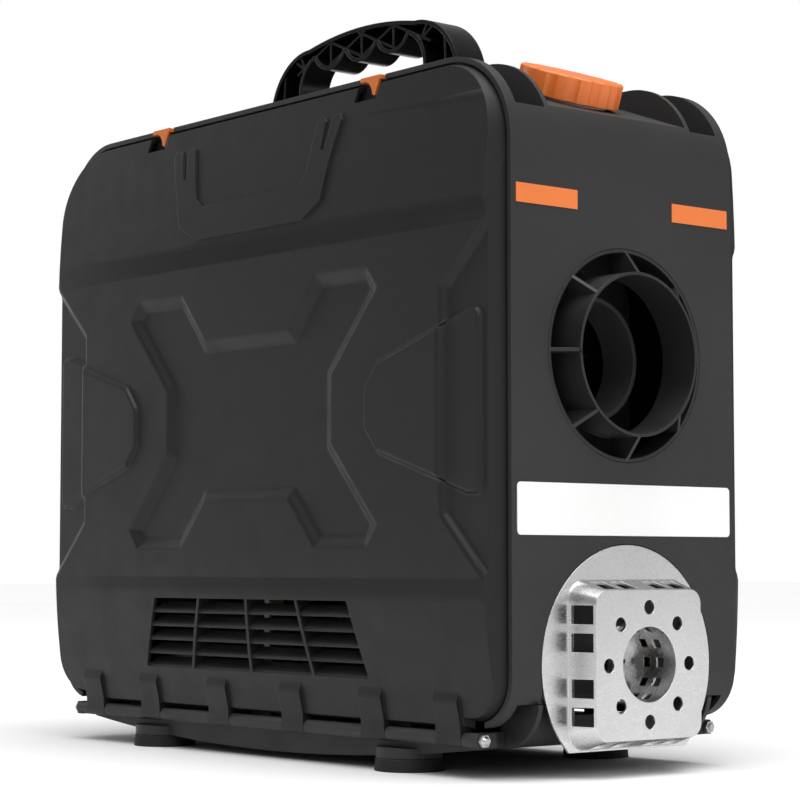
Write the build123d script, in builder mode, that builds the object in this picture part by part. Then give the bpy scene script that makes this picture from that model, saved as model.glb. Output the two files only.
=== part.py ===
from build123d import *

import os
from math import atan2, cos, degrees, hypot, radians, sin, sqrt, tan

# Diesel air heater: a portable case with two hinged covers, a tank and a heater core.
# Millimetres. Z is up, the feet stand on z = 0, the hot air leaves towards +X and the
# front cover faces -Y. The origin is under the middle of the whole object.

# ---- driving dimensions -------------------------------------------------------------
body_length = 436.5
body_width = 170.2
body_top = 388.5
rim_bottom = 27.0
top_corner = 50.0
bottom_corner = 27.0
wall = 3.0
rim_width = 7.0

channel_depth = 10.5
pocket_depth = 16.5
rib_place = 55.0
rib_thickness = 3.0
shoulder_drop = 30.5
shoulder_angle = 20.0
end_wall_bottom = 40.0

pan_half_width = 80.0
pan_wall = 2.5
pan_corner = 27.0
pan_rib_place = 64.5
belly_low = 4.0
belly_end = 16.0

foot_end_gap = 98.55
foot_y = 72.0
foot_diameter = 39.5
foot_height = 7.0
foot_boss_diameter = 37.0

hinge_y = 86.0
hinge_z = 20.8
barrel_diameter = 8.0
barrel_end_gap = 22.25
hinge_pin_diameter = 3.8
knuckle_places = (36.5, 109.5, 173.0)
knuckle_length = 20.0

cover_bulge = 98.2
cover_edge = 88.0
cover_flat_low = 120.0
cover_flat_high = 280.0
cover_skin = 2.5
cover_draft = 16.0
cover_slit = 1.7
figure_depth = 3.6
figure_slope = 5.5
bracket_height = 2.6
side_step_x = 176.0
side_step_depth = 3.5
band_height = 1.2

vent_low = 50.5
vent_high = 93.0
vent_half_top = 95.0
vent_half_low = 109.5
vent_bar = 2.4
slat_count = 5
slat_thickness = 1.5
slat_rise = 5.2
slat_depth = 7.5
sill_overlap = 0.5

latch_x = 105.0
latch_width = 18.0
latch_drop = 12.0
latch_pivot_y = 70.5
latch_pivot_below_top = 6.5
latch_pin_diameter = 3.0

handle_half_span = 91.0
handle_shoulder_rise = 23.5
handle_rise = 58.3
handle_width = 22.0
handle_wall = 2.6
handle_foot_half = 97.0
lobe_pitch = 31.0
lobe_rise = 36.5
groove_rise = 45.5

outlet_height = 227.2
outlet_ring_radius = 58.4
outlet_ring_depth = 15.0
collar_radius = 45.0
collar_wall = 1.7
collar_stand = 10.6
outlet_spokes = 8
intake_stand = 6.2
intake_bars = 12

exhaust_height = 59.8
shield_radius = 64.0
shield_flat = 13.7
shield_sheet = 1.5
shield_depth = 16.2
shield_base_half = 45.5
shield_front_half = 40.0
shield_bore_radius = 20.2
shield_hole_circle = 30.6
shield_hole_diameter = 7.7
shield_slot_height = 10.0
shield_slot_places = (12.1, 26.9)
cage_windows = 12
cage_window = 5.4
cage_wall = 1.2
cage_step = 0.7
cage_inner = shield_bore_radius + cage_step
exhaust_pipe_radius = 12.0
exhaust_pipe_wall = 1.0

cap_end_gap = 46.25
cap_grip = 5.75
cap_scallops = 14
cap_stand = 1.5
cap_height = 14.5
cap_slip = 1.5
scallop_radius = 5.0
scallop_depth = 1.6
neck_radius = 22.5
neck_wall = 3.0
neck_stand = 11.5
gasket_thickness = 1.6

strip_low = 304.1
strip_high = 314.5
strip_inner = 36.7
strip_outer = 81.6
label_low = 128.7
label_high = 156.5
label_half = 81.5
trim_thickness = 0.5

tank_end_gap = 28.25
tank_half_width = 73.5
tank_bottom = 306.0
tank_wall = 3.0
strap_x = 60.0
strap_width = 18.0
strap_thickness = 1.5

core_half_width = 69.0
core_half_height = 73.0
core_corner = 40.0
core_wall = 2.5
core_start = -140.0
core_finish = 150.0
nozzle_radius = 34.8
nozzle_end_gap = 26.25
nozzle_straight = 24.0
nozzle_cone_radius = 62.0
nozzle_wall = 2.5
fan_duct_radius = 55.0
duct_wall = 2.0
blower_start = -70.0
blower_end = 6.0
blower_radius = 44.0
blower_wall = 3.0
motor_start = -78.0
motor_end = -24.0
motor_radius = 24.0
port_wall = 1.6
exchanger_radius = 38.0
exchanger_fins = 18
exchanger_fin_height = 13.0
exchanger_end = 146.0
fin_length = 124.0
burner_radius = 26.0
burner_wall = 1.4
burner_length = 98.0
shaft_radius = 4.0
fan_radius = 52.0
fan_hub_radius = 18.0
fan_blades = 9
impeller_radius = 30.0
impeller_blades = 10

pipe_drop_x = 62.0
pipe_bend = 38.0
hose_drop_x = -8.5
hose_radius = 13.0
fuel_y = 60.0
fuel_line_radius = 2.5
pump_x = -118.0
pump_half = 45.0
pump_radius = 14.0
pump_height = 52.0
pump_clamp_wall = 3.5
nipple_radius = 4.0
filter_x = -178.0
filter_height = 110.0
filter_half = 24.0
riser_x = -35.0
boss_height = 8.0
silencer_x = -131.0
silencer_half = 40.0
silencer_radius = 21.0
mouth_radius = 10.5
mouth_collar = 3.5
mouth_stand = 5.8

seat_gap = 0.3
running_gap = 0.05
slip_gap = 0.6
bolt_radius = 2.0
small_bolt_radius = 1.5

# ---- sizes that follow from them ----------------------------------------------------
half_length = body_length / 2
half_width = body_width / 2
shoulder_height = body_top - shoulder_drop
foot_x = half_length - foot_end_gap
barrel_half_length = half_length - barrel_end_gap
handle_shoulder = body_top + handle_shoulder_rise
handle_top = body_top + handle_rise
lobe_low = body_top + lobe_rise
groove_high = body_top + groove_rise
cap_x = half_length - cap_end_gap
cap_inner_radius = neck_radius + cap_slip
cap_diameter = 2 * (cap_inner_radius + cap_grip)
tank_half_length = half_length - tank_end_gap
nozzle_mouth = half_length - nozzle_end_gap
# The shield stands out further than the intake grille, so the body sits off centre.
body_x = (intake_stand - shield_depth) / 2
channel_floor = body_top - channel_depth
pocket_floor = body_top - pocket_depth
ceiling = pocket_floor - wall
rim_inner = half_width - rim_width
cover_back = half_width - wall
cover_half = half_length - wall - slip_gap
cover_top = body_top - wall - slip_gap
cover_bottom = hinge_z + barrel_diameter / 2 + cover_slit
shoulder_x = half_length - (channel_floor - shoulder_height) / tan(radians(shoulder_angle))
barrel_radius = barrel_diameter / 2
pin_bore = hinge_pin_diameter / 2 + running_gap
intake_radius = outlet_ring_radius - 5
lid_step = 2.6 * wall
strap_flange_end = tank_half_width + 8.0
strap_screw_y = tank_half_width + 4.2
above = body_top + 5.0
outside = half_length + 5.0


def front(y):
    """Sheet facing -Y at depth y; its x is X from the body's middle, its y is Z."""
    return Plane(origin=(body_x, y, 0), x_dir=(1, 0, 0), z_dir=(0, -1, 0))


def end(x):
    """Sheet facing +X at x from the body's middle; its x is Y, its y is Z."""
    return Plane(origin=(body_x + x, 0, 0), x_dir=(0, 1, 0), z_dir=(1, 0, 0))


def level(z):
    """Sheet facing up at height z; its x is X from the body's middle."""
    return Plane(origin=(body_x, 0, z), x_dir=(1, 0, 0), z_dir=(0, 0, 1))


def body_outline(inset):
    """The case's rounded front outline, drawn in by inset."""
    with BuildSketch() as shape:
        with Locations((0, (body_top + rim_bottom) / 2)):
            Rectangle(body_length - 2 * inset, body_top - rim_bottom - 2 * inset)
        fillet(shape.vertices().group_by(Axis.Y)[-1], top_corner - inset)
        fillet(shape.vertices().group_by(Axis.Y)[0], bottom_corner - inset)
    return shape.sketch


def mirrored_polygon(right_half):
    """A closed polygon from the points of its right half, taken in order."""
    left_half = [(-x, y) for x, y in reversed(right_half)]
    with BuildSketch() as shape:
        with BuildLine():
            Polyline(*right_half, *left_half, close=True)
        make_face()
    return shape.sketch


# ---- housing: end walls, ribbed top and the rims round the covers --------------------
over_channel = mirrored_polygon(
    [
        (shoulder_x, channel_floor),
        (outside, channel_floor - (outside - shoulder_x) * tan(radians(shoulder_angle))),
        (outside, above),
    ]
)
ledge_x = half_length - 13.0
pocket_x = half_length - 45.0
over_pocket = mirrored_polygon(
    [
        (pocket_x, pocket_floor),
        (ledge_x, shoulder_height),
        (outside, shoulder_height),
        (outside, above),
    ]
)
over_ceiling = mirrored_polygon(
    [
        (pocket_x - wall, ceiling),
        (half_length - wall, shoulder_height - lid_step),
        (outside, shoulder_height - lid_step),
        (outside, above),
    ]
)
cap_seat = Plane(
    origin=(body_x + cap_x, 0, channel_floor - (cap_x - shoulder_x) * tan(radians(shoulder_angle))),
    x_dir=(0, 1, 0),
    z_dir=(sin(radians(shoulder_angle)), 0, cos(radians(shoulder_angle))),
)
rib_inner = rib_place - rib_thickness / 2
rib_outer = rib_place + rib_thickness / 2
pivot_z = body_top - latch_pivot_below_top
tongue_thickness = 2.7
ear_thickness = 2.4
ear_place = latch_width / 2 + seat_gap + ear_thickness / 2
handle_screws_at = (handle_foot_half + 9.0, 8.5)
case_screw_at = (half_length - 16.0, 50.0)
boss_length = half_length - wall - case_screw_at[0] + 6.0
inlet_at = (-45.0, 84.0)
inlet_radius = 11.0
shield_seat_depth = shield_sheet + seat_gap
hose_mouth_radius = hose_radius + slip_gap

with BuildPart() as housing:
    with BuildSketch(front(0)):
        add(body_outline(0))
    extrude(amount=half_width, both=True)
    # open from front to back, under a ceiling that follows the shoulders
    with BuildSketch(front(0)):
        add(body_outline(wall))
        add(over_ceiling, mode=Mode.SUBTRACT)
    extrude(amount=half_width, both=True, mode=Mode.SUBTRACT)
    # seats for the covers, inside both rims
    for y in (-cover_back, half_width):
        with BuildSketch(front(y)):
            add(body_outline(wall))
        extrude(amount=wall, mode=Mode.SUBTRACT)
    # the channel between the two long ribs, and the pockets between ribs and rims
    with BuildSketch(front(0)):
        add(over_channel)
    extrude(amount=rib_inner, both=True, mode=Mode.SUBTRACT)
    for y in (-rib_outer, rim_inner):
        with BuildSketch(front(y)):
            add(over_pocket)
        extrude(amount=rim_inner - rib_outer, mode=Mode.SUBTRACT)
    # the thick middle of the channel is cored out from below
    with BuildSketch(level(ceiling - 1)):
        Rectangle(2 * (shoulder_x - 2 * wall), 2 * (rib_inner - wall))
    extrude(amount=channel_floor - wall - ceiling + 1, mode=Mode.SUBTRACT)
    # between the rims the end walls stop above the pan
    with BuildSketch(front(0)):
        with Locations((0, (end_wall_bottom + rim_bottom - 1) / 2)):
            Rectangle(2 * outside, end_wall_bottom - rim_bottom + 1)
    extrude(amount=rim_inner, both=True, mode=Mode.SUBTRACT)
    with BuildSketch(front(0)):
        with Locations((0, rim_bottom)):
            Rectangle(2 * (barrel_half_length + slip_gap), 4 * wall)
    extrude(amount=half_width, both=True, mode=Mode.SUBTRACT)
    # hot air outlet, with a thicker lip inside for the ring's clips
    with BuildSketch(end(half_length - wall)):
        with Locations((0, outlet_height)):
            Circle(outlet_ring_radius + 6)
    extrude(amount=-2)
    with BuildSketch(end(half_length + 1)):
        with Locations((0, outlet_height)):
            Circle(outlet_ring_radius + seat_gap)
    extrude(amount=-wall - 4, mode=Mode.SUBTRACT)
    # exhaust: a pad behind the wall, a shallow round seat in it, a hole for the cage
    with BuildSketch(end(half_length - wall)):
        with Locations((0, exhaust_height)):
            Circle(shield_radius + 3)
        with Locations((0, end_wall_bottom - 50)):
            Rectangle(4 * shield_radius, 100, mode=Mode.SUBTRACT)
    extrude(amount=-wall)
    with BuildSketch(end(half_length + 1)):
        with Locations((0, exhaust_height)):
            Circle(shield_radius + slip_gap)
    extrude(amount=-1 - shield_seat_depth, mode=Mode.SUBTRACT)
    with BuildSketch(end(half_length)):
        with Locations((0, exhaust_height)):
            Circle(cage_inner + cage_wall + seat_gap)
    extrude(amount=-3 * wall, mode=Mode.SUBTRACT)
    # intake mouth, power inlet and combustion air hole in the other end
    with BuildSketch(end(-half_length - 1)):
        with Locations((0, outlet_height)):
            Circle(intake_radius)
        with Locations(inlet_at):
            Circle(inlet_radius + seat_gap)
        with Locations((0, exhaust_height)):
            Circle(hose_mouth_radius)
    extrude(amount=3 * wall, mode=Mode.SUBTRACT)
    # filler hole, square to the shoulder
    with BuildSketch(cap_seat):
        Circle(neck_radius + slip_gap)
    extrude(amount=4 * wall, both=True, mode=Mode.SUBTRACT)
    # bosses for the pan's screws
    with BuildSketch(level(end_wall_bottom)):
        with GridLocations(2 * (half_length - wall) - boss_length, 2 * case_screw_at[1], 2, 2):
            Rectangle(boss_length, 12)
        with GridLocations(2 * case_screw_at[0], 2 * case_screw_at[1], 2, 2):
            Circle(bolt_radius + running_gap, mode=Mode.SUBTRACT)
    extrude(amount=16)
    # handle screws
    with BuildSketch(level(channel_floor + 1)):
        with GridLocations(2 * handle_screws_at[0], 2 * handle_screws_at[1], 2, 2):
            Circle(bolt_radius + running_gap)
    extrude(amount=-3 * wall, mode=Mode.SUBTRACT)
    # blind holes for the tank straps' screws
    with BuildSketch(level(ceiling)):
        with GridLocations(2 * strap_x, 2 * strap_screw_y, 2, 2):
            Circle(small_bolt_radius + running_gap)
    extrude(amount=wall - 0.4, mode=Mode.SUBTRACT)
    # latches: ears in the pockets and a slot through each rim
    for side in (-1, 1):
        for x in (-latch_x - ear_place, -latch_x + ear_place, latch_x - ear_place, latch_x + ear_place):
            with BuildSketch(end(x - ear_thickness / 2)):
                with Locations((side * latch_pivot_y, (pocket_floor + pivot_z) / 2)):
                    Rectangle(8, pivot_z - pocket_floor)
                with Locations((side * latch_pivot_y, pivot_z)):
                    Circle(4)
                    Circle(latch_pin_diameter / 2 + running_gap, mode=Mode.SUBTRACT)
            extrude(amount=ear_thickness)
    for y in (1 - rim_inner, half_width + 1):
        with BuildSketch(front(y)):
            with Locations((-latch_x, body_top), (latch_x, body_top)):
                Rectangle(latch_width + 2 * slip_gap, 2 * (tongue_thickness + 2 * seat_gap))
        extrude(amount=rim_width + 2, mode=Mode.SUBTRACT)
housing.part.label = "housing"

# ---- base pan: curved belly, corner ribs, foot bosses and the hinge barrels ----------
pan_end = half_length - 8.0
lug_inner = barrel_half_length - 6.0
pan_top = hinge_z + barrel_diameter / 2 - 0.3
rib_top = end_wall_bottom - seat_gap
belly_reach = half_length - pan_corner
belly_radius = (belly_reach**2 + (belly_end - belly_low) ** 2) / (2 * (belly_end - belly_low))


def belly(x):
    """Height of the belly's underside at x."""
    return belly_low + belly_radius - sqrt(belly_radius**2 - x**2)


def pan_outline(reach, corner, top, rise):
    """Front outline of a pan slice: belly arc, rounded ends, flat top, lifted by rise."""
    flat = reach - corner
    low = belly(flat) + rise
    diagonal = corner * (1 - sin(radians(45)))
    with BuildSketch() as shape:
        with BuildLine():
            ThreePointArc((-flat, low), (0, belly_low + rise), (flat, low))
            ThreePointArc((flat, low), (reach - diagonal, low + diagonal), (reach, low + corner))
            Polyline((reach, low + corner), (reach, 200), (-reach, 200), (-reach, low + corner))
            ThreePointArc((-reach, low + corner), (diagonal - reach, low + diagonal), (-flat, low))
        make_face()
        with Locations((0, top + 500)):
            Rectangle(3 * reach, 1000, mode=Mode.SUBTRACT)
    return shape.sketch


knuckle_gap = 0.4
knuckles = sorted([-x for x in knuckle_places] + list(knuckle_places))
barrel_edges = [-barrel_half_length]
for x in knuckles:
    barrel_edges += [x - knuckle_length / 2 - knuckle_gap, x + knuckle_length / 2 + knuckle_gap]
barrel_edges.append(barrel_half_length)
barrel_runs = list(zip(barrel_edges[::2], barrel_edges[1::2]))
bracket_feet = [(x, y) for x in (-52.0, 84.0) for y in (-54.0, 54.0)]
unit_feet = [(-158.0, -50.0), (-92.0, -50.0)]
saddle_top = exhaust_height - silencer_radius - seat_gap
pump_post_top = pump_height - pump_radius - pump_clamp_wall - 2 * seat_gap
bracket_seat = 17.0
unit_seat = 20.0

with BuildPart() as base_pan:
    with BuildSketch(front(0)):
        add(pan_outline(lug_inner, 4.0, pan_top, 0))
    extrude(amount=pan_half_width, both=True)
    with BuildSketch(front(0)):
        add(pan_outline(pan_end, pan_corner - 8, rib_top, 0))
    extrude(amount=pan_rib_place + 1.5, both=True)
    for y in (-pan_rib_place, pan_rib_place):
        with BuildSketch(front(y)):
            add(pan_outline(half_length, pan_corner, rib_top, 0))
        extrude(amount=1.5, both=True)
    # hollow from above
    with BuildSketch(front(0)):
        add(pan_outline(lug_inner - pan_wall, 3.0, above, pan_wall))
    extrude(amount=pan_half_width - pan_wall, both=True, mode=Mode.SUBTRACT)
    with BuildSketch(front(0)):
        add(pan_outline(pan_end - pan_wall, pan_corner - 10, above, pan_wall))
    extrude(amount=pan_rib_place - pan_wall - 1.5, both=True, mode=Mode.SUBTRACT)
    # the ends dip in the middle, for the exhaust and the air hose
    with BuildSketch(end(0)):
        with Locations((0, rib_top)):
            Rectangle(70, 2 * (rib_top - 33.0))
    extrude(amount=outside, both=True, mode=Mode.SUBTRACT)
    # shelves that meet the housing's bosses
    with BuildSketch(level(rib_top)):
        with GridLocations(2 * case_screw_at[0], 2 * case_screw_at[1], 2, 2):
            Rectangle(15, 22)
    extrude(amount=-pan_wall)
    with BuildSketch(level(rib_top)):
        with GridLocations(2 * case_screw_at[0], 2 * case_screw_at[1], 2, 2):
            Circle(bolt_radius + running_gap)
    extrude(amount=-pan_wall, mode=Mode.SUBTRACT)
    # foot bosses, bored for the foot screws
    with BuildSketch(level(foot_height + seat_gap)):
        with GridLocations(2 * foot_x, 2 * foot_y, 2, 2):
            Circle(foot_boss_diameter / 2)
    extrude(amount=hinge_z - barrel_diameter - foot_height)
    with BuildSketch(level(foot_height)):
        with GridLocations(2 * foot_x, 2 * foot_y, 2, 2):
            Circle(bolt_radius + running_gap)
    extrude(amount=9, mode=Mode.SUBTRACT)
    # hinge barrels on webs, bored for the pins, with closing lugs at both ends
    for side in (-1, 1):
        for start, stop in barrel_runs:
            with BuildSketch(end(start)):
                with Locations((side * hinge_y, hinge_z)):
                    Circle(barrel_diameter / 2)
                with Locations((side * (pan_half_width + hinge_y) / 2, hinge_z)):
                    Rectangle(hinge_y - pan_half_width + 1, 4.4)
            extrude(amount=stop - start)
        for x in (-barrel_half_length, lug_inner):
            with BuildSketch(end(x)):
                with Locations((side * (pan_half_width + 2.5), hinge_z)):
                    Rectangle(13, barrel_diameter)
            extrude(amount=barrel_half_length - lug_inner)
        with BuildSketch(end(-barrel_half_length)):
            with Locations((side * hinge_y, hinge_z)):
                Circle(hinge_pin_diameter / 2 + running_gap)
        extrude(amount=2 * barrel_half_length, mode=Mode.SUBTRACT)
    # seats for what stands in the pan
    for places, size, top in (
        (bracket_feet, (16, 16), bracket_seat),
        (unit_feet, (10, 30), unit_seat),
        ([(pump_x, fuel_y)], (14, 14), pump_post_top),
        ([(silencer_x, 0)], (40, 18), saddle_top),
    ):
        for x, y in places:
            with BuildSketch(level(top)):
                with Locations((x, y)):
                    Rectangle(*size)
            extrude(amount=belly(x) + 1 - top)
    with BuildSketch(level(bracket_seat)):
        with Locations(*bracket_feet):
            Circle(bolt_radius + running_gap)
    extrude(amount=-7, mode=Mode.SUBTRACT)
base_pan.part.label = "base_pan"

# ---- feet ---------------------------------------------------------------------------
with BuildPart() as feet:
    with BuildSketch(level(foot_height)):
        with GridLocations(2 * foot_x, 2 * foot_y, 2, 2):
            Circle(foot_diameter / 2 - 1)
    extrude(amount=-foot_height, taper=-6)
    # sunk screw seats and the slit across each pad's rim
    with BuildSketch(level(0)):
        with GridLocations(2 * foot_x, 2 * foot_y, 2, 2):
            Circle(bolt_radius + 3)
            with Locations((14, 0)):
                Rectangle(9, 1.6)
    extrude(amount=foot_height - 3, mode=Mode.SUBTRACT)
    with BuildSketch(level(0)):
        with GridLocations(2 * foot_x, 2 * foot_y, 2, 2):
            Circle(bolt_radius + running_gap)
    extrude(amount=foot_height, mode=Mode.SUBTRACT)
feet.part.label = "feet"

with BuildPart() as foot_screws:
    with BuildSketch(level(foot_height - 3)):
        with GridLocations(2 * foot_x, 2 * foot_y, 2, 2):
            Circle(bolt_radius + 2.4)
    extrude(amount=-2.4)
    with BuildSketch(level(foot_height - 3)):
        with GridLocations(2 * foot_x, 2 * foot_y, 2, 2):
            Circle(bolt_radius)
    extrude(amount=11)
foot_screws.part.label = "foot_screws"

with BuildPart() as case_screws:
    with BuildSketch(level(rib_top - pan_wall)):
        with GridLocations(2 * case_screw_at[0], 2 * case_screw_at[1], 2, 2):
            Circle(bolt_radius + 2)
    extrude(amount=-2.2)
    with BuildSketch(level(rib_top - pan_wall)):
        with GridLocations(2 * case_screw_at[0], 2 * case_screw_at[1], 2, 2):
            Circle(bolt_radius)
    extrude(amount=14)
case_screws.part.label = "case_screws"

# ---- covers: bowed skins with relief, a louvred vent and hinge tabs -----------------
low_radius = ((cover_flat_low - cover_bottom) ** 2 + (cover_bulge - cover_edge) ** 2) / (
    2 * (cover_bulge - cover_edge)
)
high_radius = ((cover_top - cover_flat_high) ** 2 + (cover_bulge - cover_edge) ** 2) / (
    2 * (cover_bulge - cover_edge)
)


def bow(z):
    """Depth of the cover's face from the middle of the object, at height z."""
    if z < cover_flat_low:
        return cover_bulge - low_radius + sqrt(low_radius**2 - (cover_flat_low - z) ** 2)
    if z > cover_flat_high:
        return cover_bulge - high_radius + sqrt(high_radius**2 - (z - cover_flat_high) ** 2)
    return cover_bulge


def bowed_block(sink, inset):
    """The front cover's bulk, its face sunk and its outline drawn in."""
    low, high = cover_bottom - 8, cover_top + 8
    middle_low, middle_high = (low + cover_flat_low) / 2, (high + cover_flat_high) / 2
    heights = (low, middle_low, cover_flat_low, cover_flat_high, middle_high, high)
    points = [(sink - bow(z), z) for z in heights]
    back = 1 - cover_back if inset else -cover_back
    with BuildPart() as block:
        with BuildSketch(end(0)):
            with BuildLine():
                ThreePointArc(points[0], points[1], points[2])
                Line(points[2], points[3])
                ThreePointArc(points[3], points[4], points[5])
                Polyline(points[5], (back, high), (back, low), points[0])
            make_face()
        extrude(amount=half_length, both=True)
        with BuildSketch(front(back)):
            add(body_outline(wall + slip_gap + inset))
            with Locations((0, (cover_bottom + inset + 70) / 2)):
                Rectangle(2 * (lug_inner - 4 - inset), 70 - cover_bottom - inset)
        extrude(amount=30, taper=cover_draft, mode=Mode.INTERSECT)
    return block.part


def grown(points, amount):
    """Corners of a closed polygon with each side moved outwards by amount."""
    turns = sum(x1 * y2 - x2 * y1 for (x1, y1), (x2, y2) in zip(points, points[1:] + points[:1]))
    reach = amount if turns > 0 else -amount
    corners = []
    for i, (x, y) in enumerate(points):
        in_angle = atan2(y - points[i - 1][1], x - points[i - 1][0])
        after = points[(i + 1) % len(points)]
        out_angle = atan2(after[1] - y, after[0] - x)
        half_turn = (out_angle - in_angle) / 2
        across = (in_angle + out_angle) / 2
        length = reach / cos(half_turn)
        corners.append((x + length * sin(across), y - length * cos(across)))
    return corners


def sloped_tool(points, face, floor, slope):
    """A cutter or pad with sloping walls: its outline lies at depth face, and is drawn
    in by slope at depth floor."""
    step = 1.0 if floor < face else -1.0
    spread = slope / abs(face - floor)
    with BuildPart() as tool:
        with BuildSketch(front(-face - step)):
            Polygon(*grown(points, spread), align=None)
        with BuildSketch(front(-floor)):
            Polygon(*grown(points, -slope), align=None)
        loft(ruled=True)
    return tool.part


figure_half = [
    (42.0, 247.5),
    (67.0, 277.5),
    (113.0, 277.5),
    (122.0, 266.0),
    (81.0, 220.0),
    (81.0, 181.0),
    (122.0, 135.0),
    (113.0, 123.5),
    (67.0, 123.5),
    (42.0, 151.5),
]
figure = figure_half + [(-x, z) for x, z in reversed(figure_half)]
side_step = [(side_step_x, 140.0), (232.0, 84.0), (232.0, 315.0), (side_step_x, 262.0)]
side_bracket = [
    (110.5, 187.0),
    (123.0, 172.0),
    (196.0, 149.0),
    (205.0, 149.0),
    (207.5, 155.0),
    (207.5, 244.0),
    (205.0, 250.0),
    (196.0, 250.0),
    (123.0, 227.5),
    (110.5, 212.0),
]
band_half = [
    (54.0, 311.3),
    (71.0, 321.0),
    (76.0, 341.0),
    (84.0, 366.0),
    (82.0, 370.0),
    (77.5, 370.0),
    (75.0, 367.0),
    (70.5, 350.5),
    (67.5, 350.5),
    (69.5, 367.0),
    (67.5, 370.0),
    (63.5, 370.0),
    (61.5, 366.5),
    (55.0, 337.0),
    (48.5, 331.7),
]

skin = bowed_block(0, 0)
step_floor = cover_bulge - side_step_depth
step_cut = sloped_tool(side_step, cover_bulge, step_floor, side_step_depth)
bracket_top = cover_bulge + bracket_height
bracket_pad = sloped_tool(side_bracket, cover_bulge - 6, bracket_top, 4.0)
figure_cut = sloped_tool(figure, cover_bulge, cover_bulge - figure_depth, figure_slope)
vent_corners = [
    (vent_half_low, vent_low),
    (vent_half_top, vent_high),
    (-vent_half_top, vent_high),
    (-vent_half_low, vent_low),
]
pad_over_step = sloped_tool(side_step, bracket_top, step_floor + bracket_height, side_step_depth)
slat_pitch = (vent_high - vent_low) / slat_count
tab_top = 47.0
tab_stand = 2.3
notch_top = cover_top + 2
notch_low = body_top - latch_drop - 2

with BuildPart() as band:
    with BuildSketch(front(2 - cover_bulge)):
        Polygon(*band_half, *[(-x, z) for x, z in reversed(band_half)], align=None)
    extrude(amount=10)
    with BuildSketch(front(2 - cover_bulge)):
        Polygon(*band_half, *[(-x, z) for x, z in reversed(band_half)], align=None)
    extrude(amount=-16)
    add(bowed_block(-band_height, 0), mode=Mode.INTERSECT)

with BuildPart() as bracket:
    add(bracket_pad)
    add(pad_over_step, mode=Mode.SUBTRACT)
    mirror(about=Plane(origin=(body_x, 0, 0), z_dir=(1, 0, 0)))

with BuildPart() as louvre:
    # slats rise inwards; bars stand between them, the outer ones leaning
    for row in range(slat_count):
        foot = vent_low - sill_overlap + row * slat_pitch
        with BuildSketch(end(0)):
            Polygon(
                (-bow(foot) + 0.8, foot),
                (-bow(foot) + 0.8 + slat_depth, foot + slat_rise),
                (-bow(foot) + 0.8 + slat_depth, foot + slat_rise + slat_thickness),
                (-bow(foot) + 0.8, foot + slat_thickness),
                align=None,
            )
        extrude(amount=vent_half_low, both=True)
    with BuildSketch(front(-cover_back - 2)):
        for low_x, high_x in ((0, 0), (60, 48), (-60, -48)):
            Polygon(
                (low_x - vent_bar / 2, vent_low - 1),
                (low_x + vent_bar / 2, vent_low - 1),
                (high_x + vent_bar / 2, vent_high + 1),
                (high_x - vent_bar / 2, vent_high + 1),
                align=None,
            )
    extrude(amount=20)
    with BuildSketch(front(-cover_back)):
        Polygon(*grown(vent_corners, 1), align=None)
    extrude(amount=20, mode=Mode.INTERSECT)
    add(skin, mode=Mode.INTERSECT)

middle = Plane(origin=(body_x, 0, 0), z_dir=(1, 0, 0))
with BuildPart() as cover_form:
    add(skin)
    add(step_cut, mode=Mode.SUBTRACT)
    add(mirror(step_cut, about=middle, mode=Mode.PRIVATE), mode=Mode.SUBTRACT)
    add(bracket.part)
    add(figure_cut, mode=Mode.SUBTRACT)

# the inside follows the outside, one skin further back
with BuildPart() as cover_inside:
    add(Pos(0, cover_skin, 0) * cover_form.part)
    add(bowed_block(0, cover_skin), mode=Mode.INTERSECT)

with BuildPart() as front_cover:
    add(cover_form.part)
    add(band.part)
    add(cover_inside.part, mode=Mode.SUBTRACT)
    # air vent
    with BuildSketch(front(5 - cover_back)):
        Polygon(*vent_corners, align=None)
    extrude(amount=30, mode=Mode.SUBTRACT)
    add(louvre.part)
    # notches under the latches
    with BuildSketch(front(5 - cover_back)):
        for x in (-latch_x, latch_x):
            Polygon(
                (x - latch_width / 2 - slip_gap, notch_top),
                (x - latch_width / 2 - slip_gap - 3, notch_low),
                (x + latch_width / 2 - 2, notch_low),
                (x + latch_width / 2 + slip_gap, notch_top),
                align=None,
            )
    extrude(amount=30, mode=Mode.SUBTRACT)
    # hinge tabs with their knuckles
    for x in knuckles:
        with BuildSketch(end(x - knuckle_length / 2)):
            Polygon(
                (-hinge_y - barrel_radius, hinge_z),
                (-bow(cover_bottom) - tab_stand, cover_bottom + 2),
                (-bow(tab_top - 6) - tab_stand, tab_top - 6),
                (-bow(tab_top) + 1, tab_top),
                (1 - bow(cover_bottom), tab_top - 8),
                (barrel_radius - hinge_y - 0.5, cover_bottom + 1),
                (barrel_radius - hinge_y, hinge_z),
                align=None,
            )
            with Locations((-hinge_y, hinge_z)):
                Circle(barrel_radius)
                Circle(pin_bore, mode=Mode.SUBTRACT)
        extrude(amount=knuckle_length)
front_cover.part.label = "front_cover"

with BuildPart() as rear_cover:
    add(mirror(front_cover.part, about=Plane.XZ, mode=Mode.PRIVATE))
rear_cover.part.label = "rear_cover"

with BuildPart() as hinge_pins:
    for side in (-1, 1):
        with BuildSketch(end(-barrel_half_length - seat_gap)):
            with Locations((side * hinge_y, hinge_z)):
                Circle(hinge_pin_diameter / 2)
        extrude(amount=2 * (barrel_half_length + seat_gap))
        # six-sided heads with a coned tip
        for way in (-1, 1):
            with BuildSketch(end(way * (barrel_half_length + seat_gap))):
                with Locations((side * hinge_y, hinge_z)):
                    RegularPolygon(3.6, 6)
            extrude(amount=way * 2.2)
            with BuildSketch(end(way * (barrel_half_length + seat_gap + 2.2))):
                with Locations((side * hinge_y, hinge_z)):
                    Circle(2.6)
            extrude(amount=way * 1.4, taper=35)
hinge_pins.part.label = "hinge_pins"

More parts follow.
